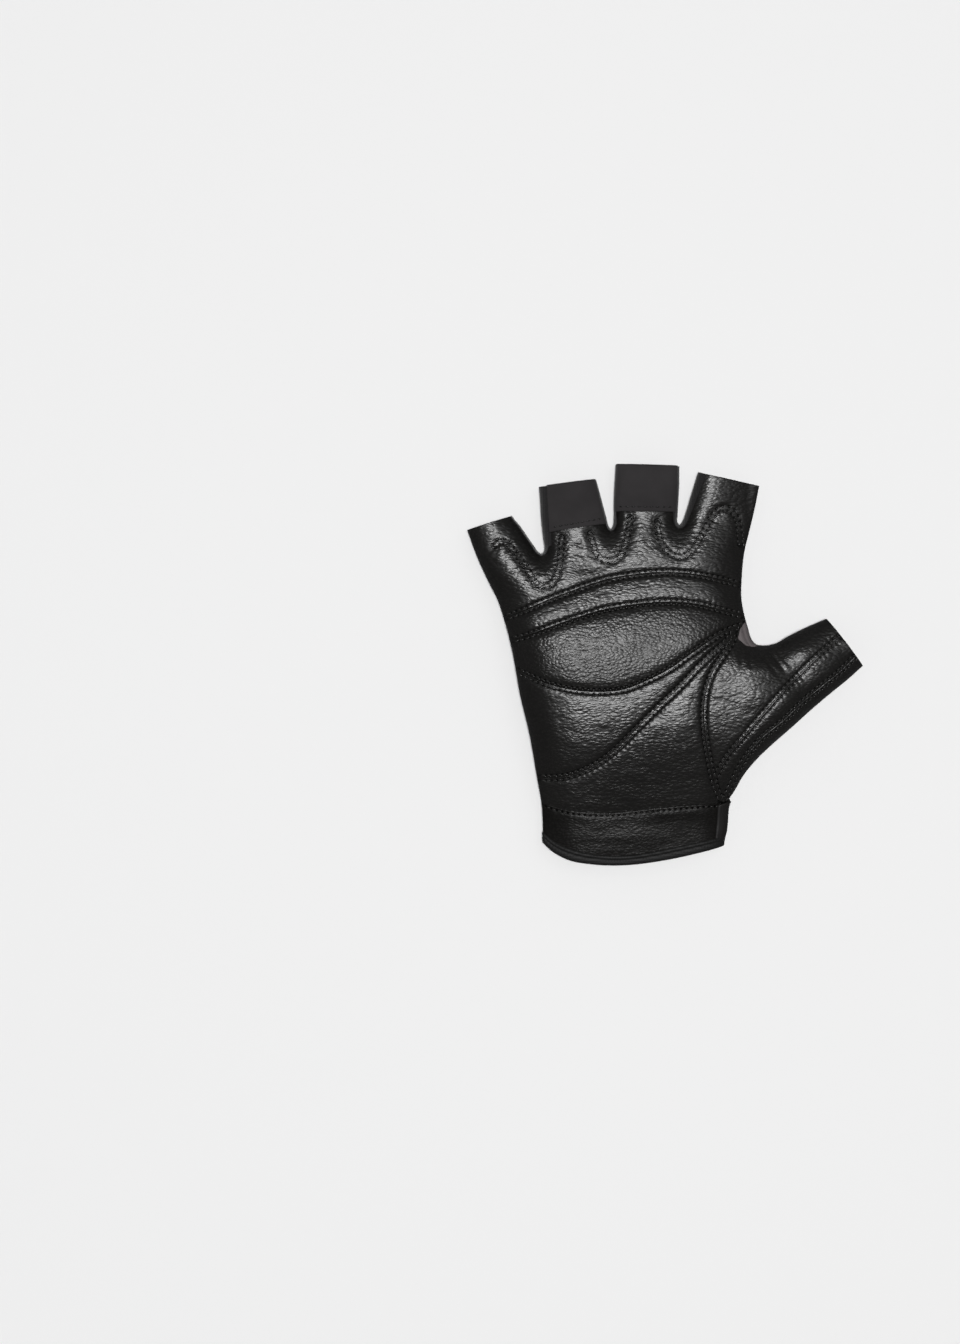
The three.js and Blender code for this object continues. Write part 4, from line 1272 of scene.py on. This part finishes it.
# %% Hem
# The profile of the binding: how far it is towards the mouth (share of the width), and how far outwards, mm
HEM_PROFILE = [(-0.06, -0.35), (-0.02, 0.2), (0.1, 0.45), (0.24, 0.3), (0.31, 0.0), (0.4, 0.3), (0.6, 0.5),
               (0.82, 0.42), (0.97, 0.1), (1.0, -0.5), (0.97, -1.1), (0.8, -1.5), (0.4, -1.6),
               (0.0, -1.6)]
HEM_WIDE, HEM_STEP = 70, 0.9  # the width of the mouth, for the number of steps, and the step, mm
hem_shares = shares(HEM_WIDE, HEM_STEP, True, True)
fold_line = at_shares(stretch(HEM_FOLD, hem_left, hem_right), hem_shares)
end_left, end_right = crossing(HEM_END, little_side), crossing(HEM_END[::-1], thumb_side)
end_line = at_shares(stretch(HEM_END, end_left, end_right), hem_shares)


def mouth_loop(line):
    """A line across the mouth, lifted to the palm side and back along the other side: a closed loop."""
    over = np.column_stack([line, palm_height(line, sewn=False)])
    under = np.column_stack([line, back_height(line)])[::-1][1:-1]
    return np.vstack([over, under])


fold_loop, end_loop = mouth_loop(fold_line), mouth_loop(end_line)
run = np.roll(fold_loop, -1, 0) - np.roll(fold_loop, 1, 0)
toward = end_loop - fold_loop
out = np.cross(run, toward)
out /= np.linalg.norm(out, axis=1)[:, None]
mouth_middle = np.array([-12.0, fold_loop[:, 1].mean(), 8.4])
out *= np.sign(((fold_loop - mouth_middle) * out).sum())
binding_profile = smooth_curve(HEM_PROFILE, 0.12)
share_in, rise = binding_profile[:, 0, None, None], binding_profile[:, 1, None, None]
proud_by = 0.25 + 0.75 * out[:, 2:] ** 2  # flatter where the mouth turns over its two side edges
hem_grid = fold_loop[None] + toward[None] * share_in
hem_grid = hem_grid + out[None] * np.where(rise > 0, proud_by[None], 1) * rise
hem_faces = grid_faces(*hem_grid.shape[:2], closed=True)
piece("hem_binding_tape", hem_grid.reshape(-1, 3), hem_faces, BINDING, "hem_binding", "binding", THIN_WALL)

# %% [markdown]
# ## Stitches
#
# A lockstitch shows as a row of short beads of thread, each sunk at both ends. They could be instances on
# a curve. Here one small bead of a few dozen faces is repeated along every row as whole arrays, turned to
# follow the seam and the slope of the leather.

# %% Stitches
# The size of a bead in mm: thicker than real thread, so that it shows, and how far its middle is raised
STITCH_LONG, STITCH_THICK, STITCH_LIFT = 1.65, 0.54, 0.06


def bead():
    """A bead along X: four rings of six points, smaller and lower towards both ends, and a pole at each."""
    turn = np.linspace(0, 2 * np.pi, 6, endpoint=False)
    share = np.array([0.1, 0.34, 0.66, 0.9])[:, None]
    size = np.sin(np.pi * share) ** 0.55 / 2
    sink = -0.3 * np.abs(2 * share - 1) ** 2
    rings = np.stack([share - 0.5 + 0 * turn, np.cos(turn) * size, np.sin(turn) * size * 0.8 + sink], -1)
    points = np.vstack([[(-0.5, 0, -0.42)], rings.reshape(-1, 3), [(0.5, 0, -0.42)]])
    first, last = np.arange(6), np.arange(6) + 19
    poles = [np.stack([0 * first, np.roll(first, -1) + 1, first + 1, 0 * first], 1),
             np.stack([0 * last + 25, last, np.roll(last, -1), 0 * last + 25], 1)]
    faces = np.vstack([grid_faces(4, 6, closed=True) + 1] + poles)
    return points * (STITCH_LONG, STITCH_THICK, STITCH_THICK), faces


BEAD_POINTS, BEAD_FACES = bead()


def beads(line, count, height, shift=0.0, up=1.0):
    """Beads in the middle of each of `count` stitches of a line, moved to its right, lying on a height."""
    share = (np.arange(count) + 0.5) / count
    places = at_shares(line, share)
    ahead = at_shares(line, np.minimum(share + 0.004, 1)) - at_shares(line, np.maximum(share - 0.004, 0))
    ahead /= np.linalg.norm(ahead, axis=1)[:, None]
    left = np.stack([-ahead[:, 1], ahead[:, 0]], 1)
    places = places - left * shift
    slope = height(places + ahead * 0.5) - height(places - ahead * 0.5)
    tilt = (height(places + left * 0.4) - height(places - left * 0.4)) / 0.8
    x_axis = np.column_stack([ahead, slope])
    x_axis /= np.linalg.norm(x_axis, axis=1)[:, None]
    side = np.column_stack([left, tilt])
    normal = np.cross(x_axis, side)
    normal /= np.linalg.norm(normal, axis=1)[:, None]
    normal *= up
    side = np.cross(normal, x_axis)
    points = np.column_stack([places, height(places)])[:, None] + BEAD_POINTS[None, :, :1] * x_axis[:, None]
    points = points + BEAD_POINTS[None, :, 1:2] * side[:, None]
    points = points + (BEAD_POINTS[None, :, 2:] + STITCH_LIFT) * normal[:, None]
    faces = BEAD_FACES[None] + (np.arange(count) * len(BEAD_POINTS))[:, None, None]
    return points.reshape(-1, 3), faces.reshape(-1, 4)


def straight_row(a, b):
    """A straight row of stitches between two places."""
    line = np.array([a, b], float)
    return line, int(length_of(line) / STITCH_PITCH)


rows = []
for line, count, double in SEWN_ROWS:
    for shift in (-ROW_APART, ROW_APART) if double else (0.0,):
        rows.append(beads(line, count, palm_height, shift))
piece("palm_stitches", *joined(rows), THREAD, slot="binding")

tab_rows = []
for finger, cut in TABS.items():
    (x0, y0), (x1, y1) = cut["bottom"]
    row = straight_row((x0 + 1.2, y0 + TAB_ROW), (x1 - 1.6, y1 + TAB_ROW))
    tab_rows.append(beads(*row, tab_height))
piece("tab_stitches", *joined(tab_rows), THREAD_ON_CLOTH, slot="binding")

back_line = at_shares(BACK_CUFF, np.linspace(0.03, 0.97, 80))
back_line = offset(back_line, np.full(len(back_line), -0.9))
back_count = int(length_of(back_line) / STITCH_PITCH)
piece("back_stitches", *beads(back_line, back_count, back_height, up=-1.0), THREAD, slot="binding")

# %% [markdown]
# ## Camera
#
# The photograph looks straight down on the glove, which lies right of the middle. A long lens keeps the
# proportions flat. Its distance follows from the size of a pixel of the photograph on the glove.

# %% Camera
MM_PER_PIXEL = 0.38
FRAME_HIGH = 1344
LENS, SENSOR = 120.0, 36.0
VIEW_CENTRE = (-70.5, -2.9, 10.0)  # what the middle of the picture looks at, mm
camera_data = bpy.data.cameras.new("camera")
camera_data.lens = LENS
camera_data.sensor_width = SENSOR
camera = bpy.data.objects.new("camera", camera_data)
view_distance = MM_PER_PIXEL * FRAME_HIGH * LENS / SENSOR
camera.location = [v * MM for v in (VIEW_CENTRE[0], VIEW_CENTRE[1], VIEW_CENTRE[2] + view_distance)]
bpy.context.scene.collection.objects.link(camera)
bpy.context.scene.camera = camera

# %% [markdown]
# ## Floor and light
#
# The glove lies on a pale paper sweep. In the photograph the paper has no shadow, and the sheen of the
# leather comes from the side of the fingers. One lamp can't do both, so the light is shared out. A box
# right over the glove lights the paper and the cloth, and isn't seen in the leather. A box towards the
# fingers is seen in the leather as its broad sheen, and lights nothing else. A weak, wide one keeps the
# thumb side from black.

# %% Floor and lights
paper, paper_tree, paper_shader, paper_place = new_material("matte_paper_sweep", "#f1f1f1", 0.9, 0.1)
tooth = add(paper_tree, "ShaderNodeTexNoise", Vector=paper_place, Scale=scale_of(1.11))
bumped(paper_tree, paper_shader, (tooth.outputs["Fac"], 0.03, 0.02))
FLOOR_HALF = 4.0  # metres
floor_mesh = bpy.data.meshes.new("floor")
floor_corners = [(x * FLOOR_HALF, y * FLOOR_HALF, 0) for x, y in ((-1, -1), (1, -1), (1, 1), (-1, 1))]
floor_mesh.from_pydata(floor_corners, [], [(0, 1, 2, 3)])
floor_mesh.materials.append(paper)
floor = bpy.data.objects.new("floor", floor_mesh)
bpy.context.scene.collection.objects.link(floor)
floor.visible_glossy = False


def soft_box(name, place, aim, size, power):
    """A square area light at a place, turned to face a point, both in metres."""
    light = bpy.data.lights.new(name, "AREA")
    light.size = size
    light.energy = power
    obj = bpy.data.objects.new(name, light)
    obj.location = place
    towards = Vector(aim) - Vector(place)
    obj.rotation_euler = towards.to_track_quat("-Z", "Y").to_euler()
    bpy.context.scene.collection.objects.link(obj)
    return obj


paper_box = soft_box("paper_box", (-0.04, 0, 3.4), (-0.04, 0, 0), 0.3, 97)
paper_box.visible_glossy = False
sheen_box = soft_box("sheen_box", (-0.22, 0.54, 2.45), (0, 0, 0), 0.9, 57)
sheen_box.visible_diffuse = False
soft_box("side_box", (0.9, 0.6, 2.8), (0, 0, 0), 1.6, 5)

world = bpy.data.worlds.new("studio")
world.use_nodes = True
world.node_tree.nodes["Background"].inputs["Color"].default_value = (1, 1, 1, 1)
world.node_tree.nodes["Background"].inputs["Strength"].default_value = 0.1
bpy.context.scene.world = world
bpy.context.scene.view_settings.view_transform = "Standard"
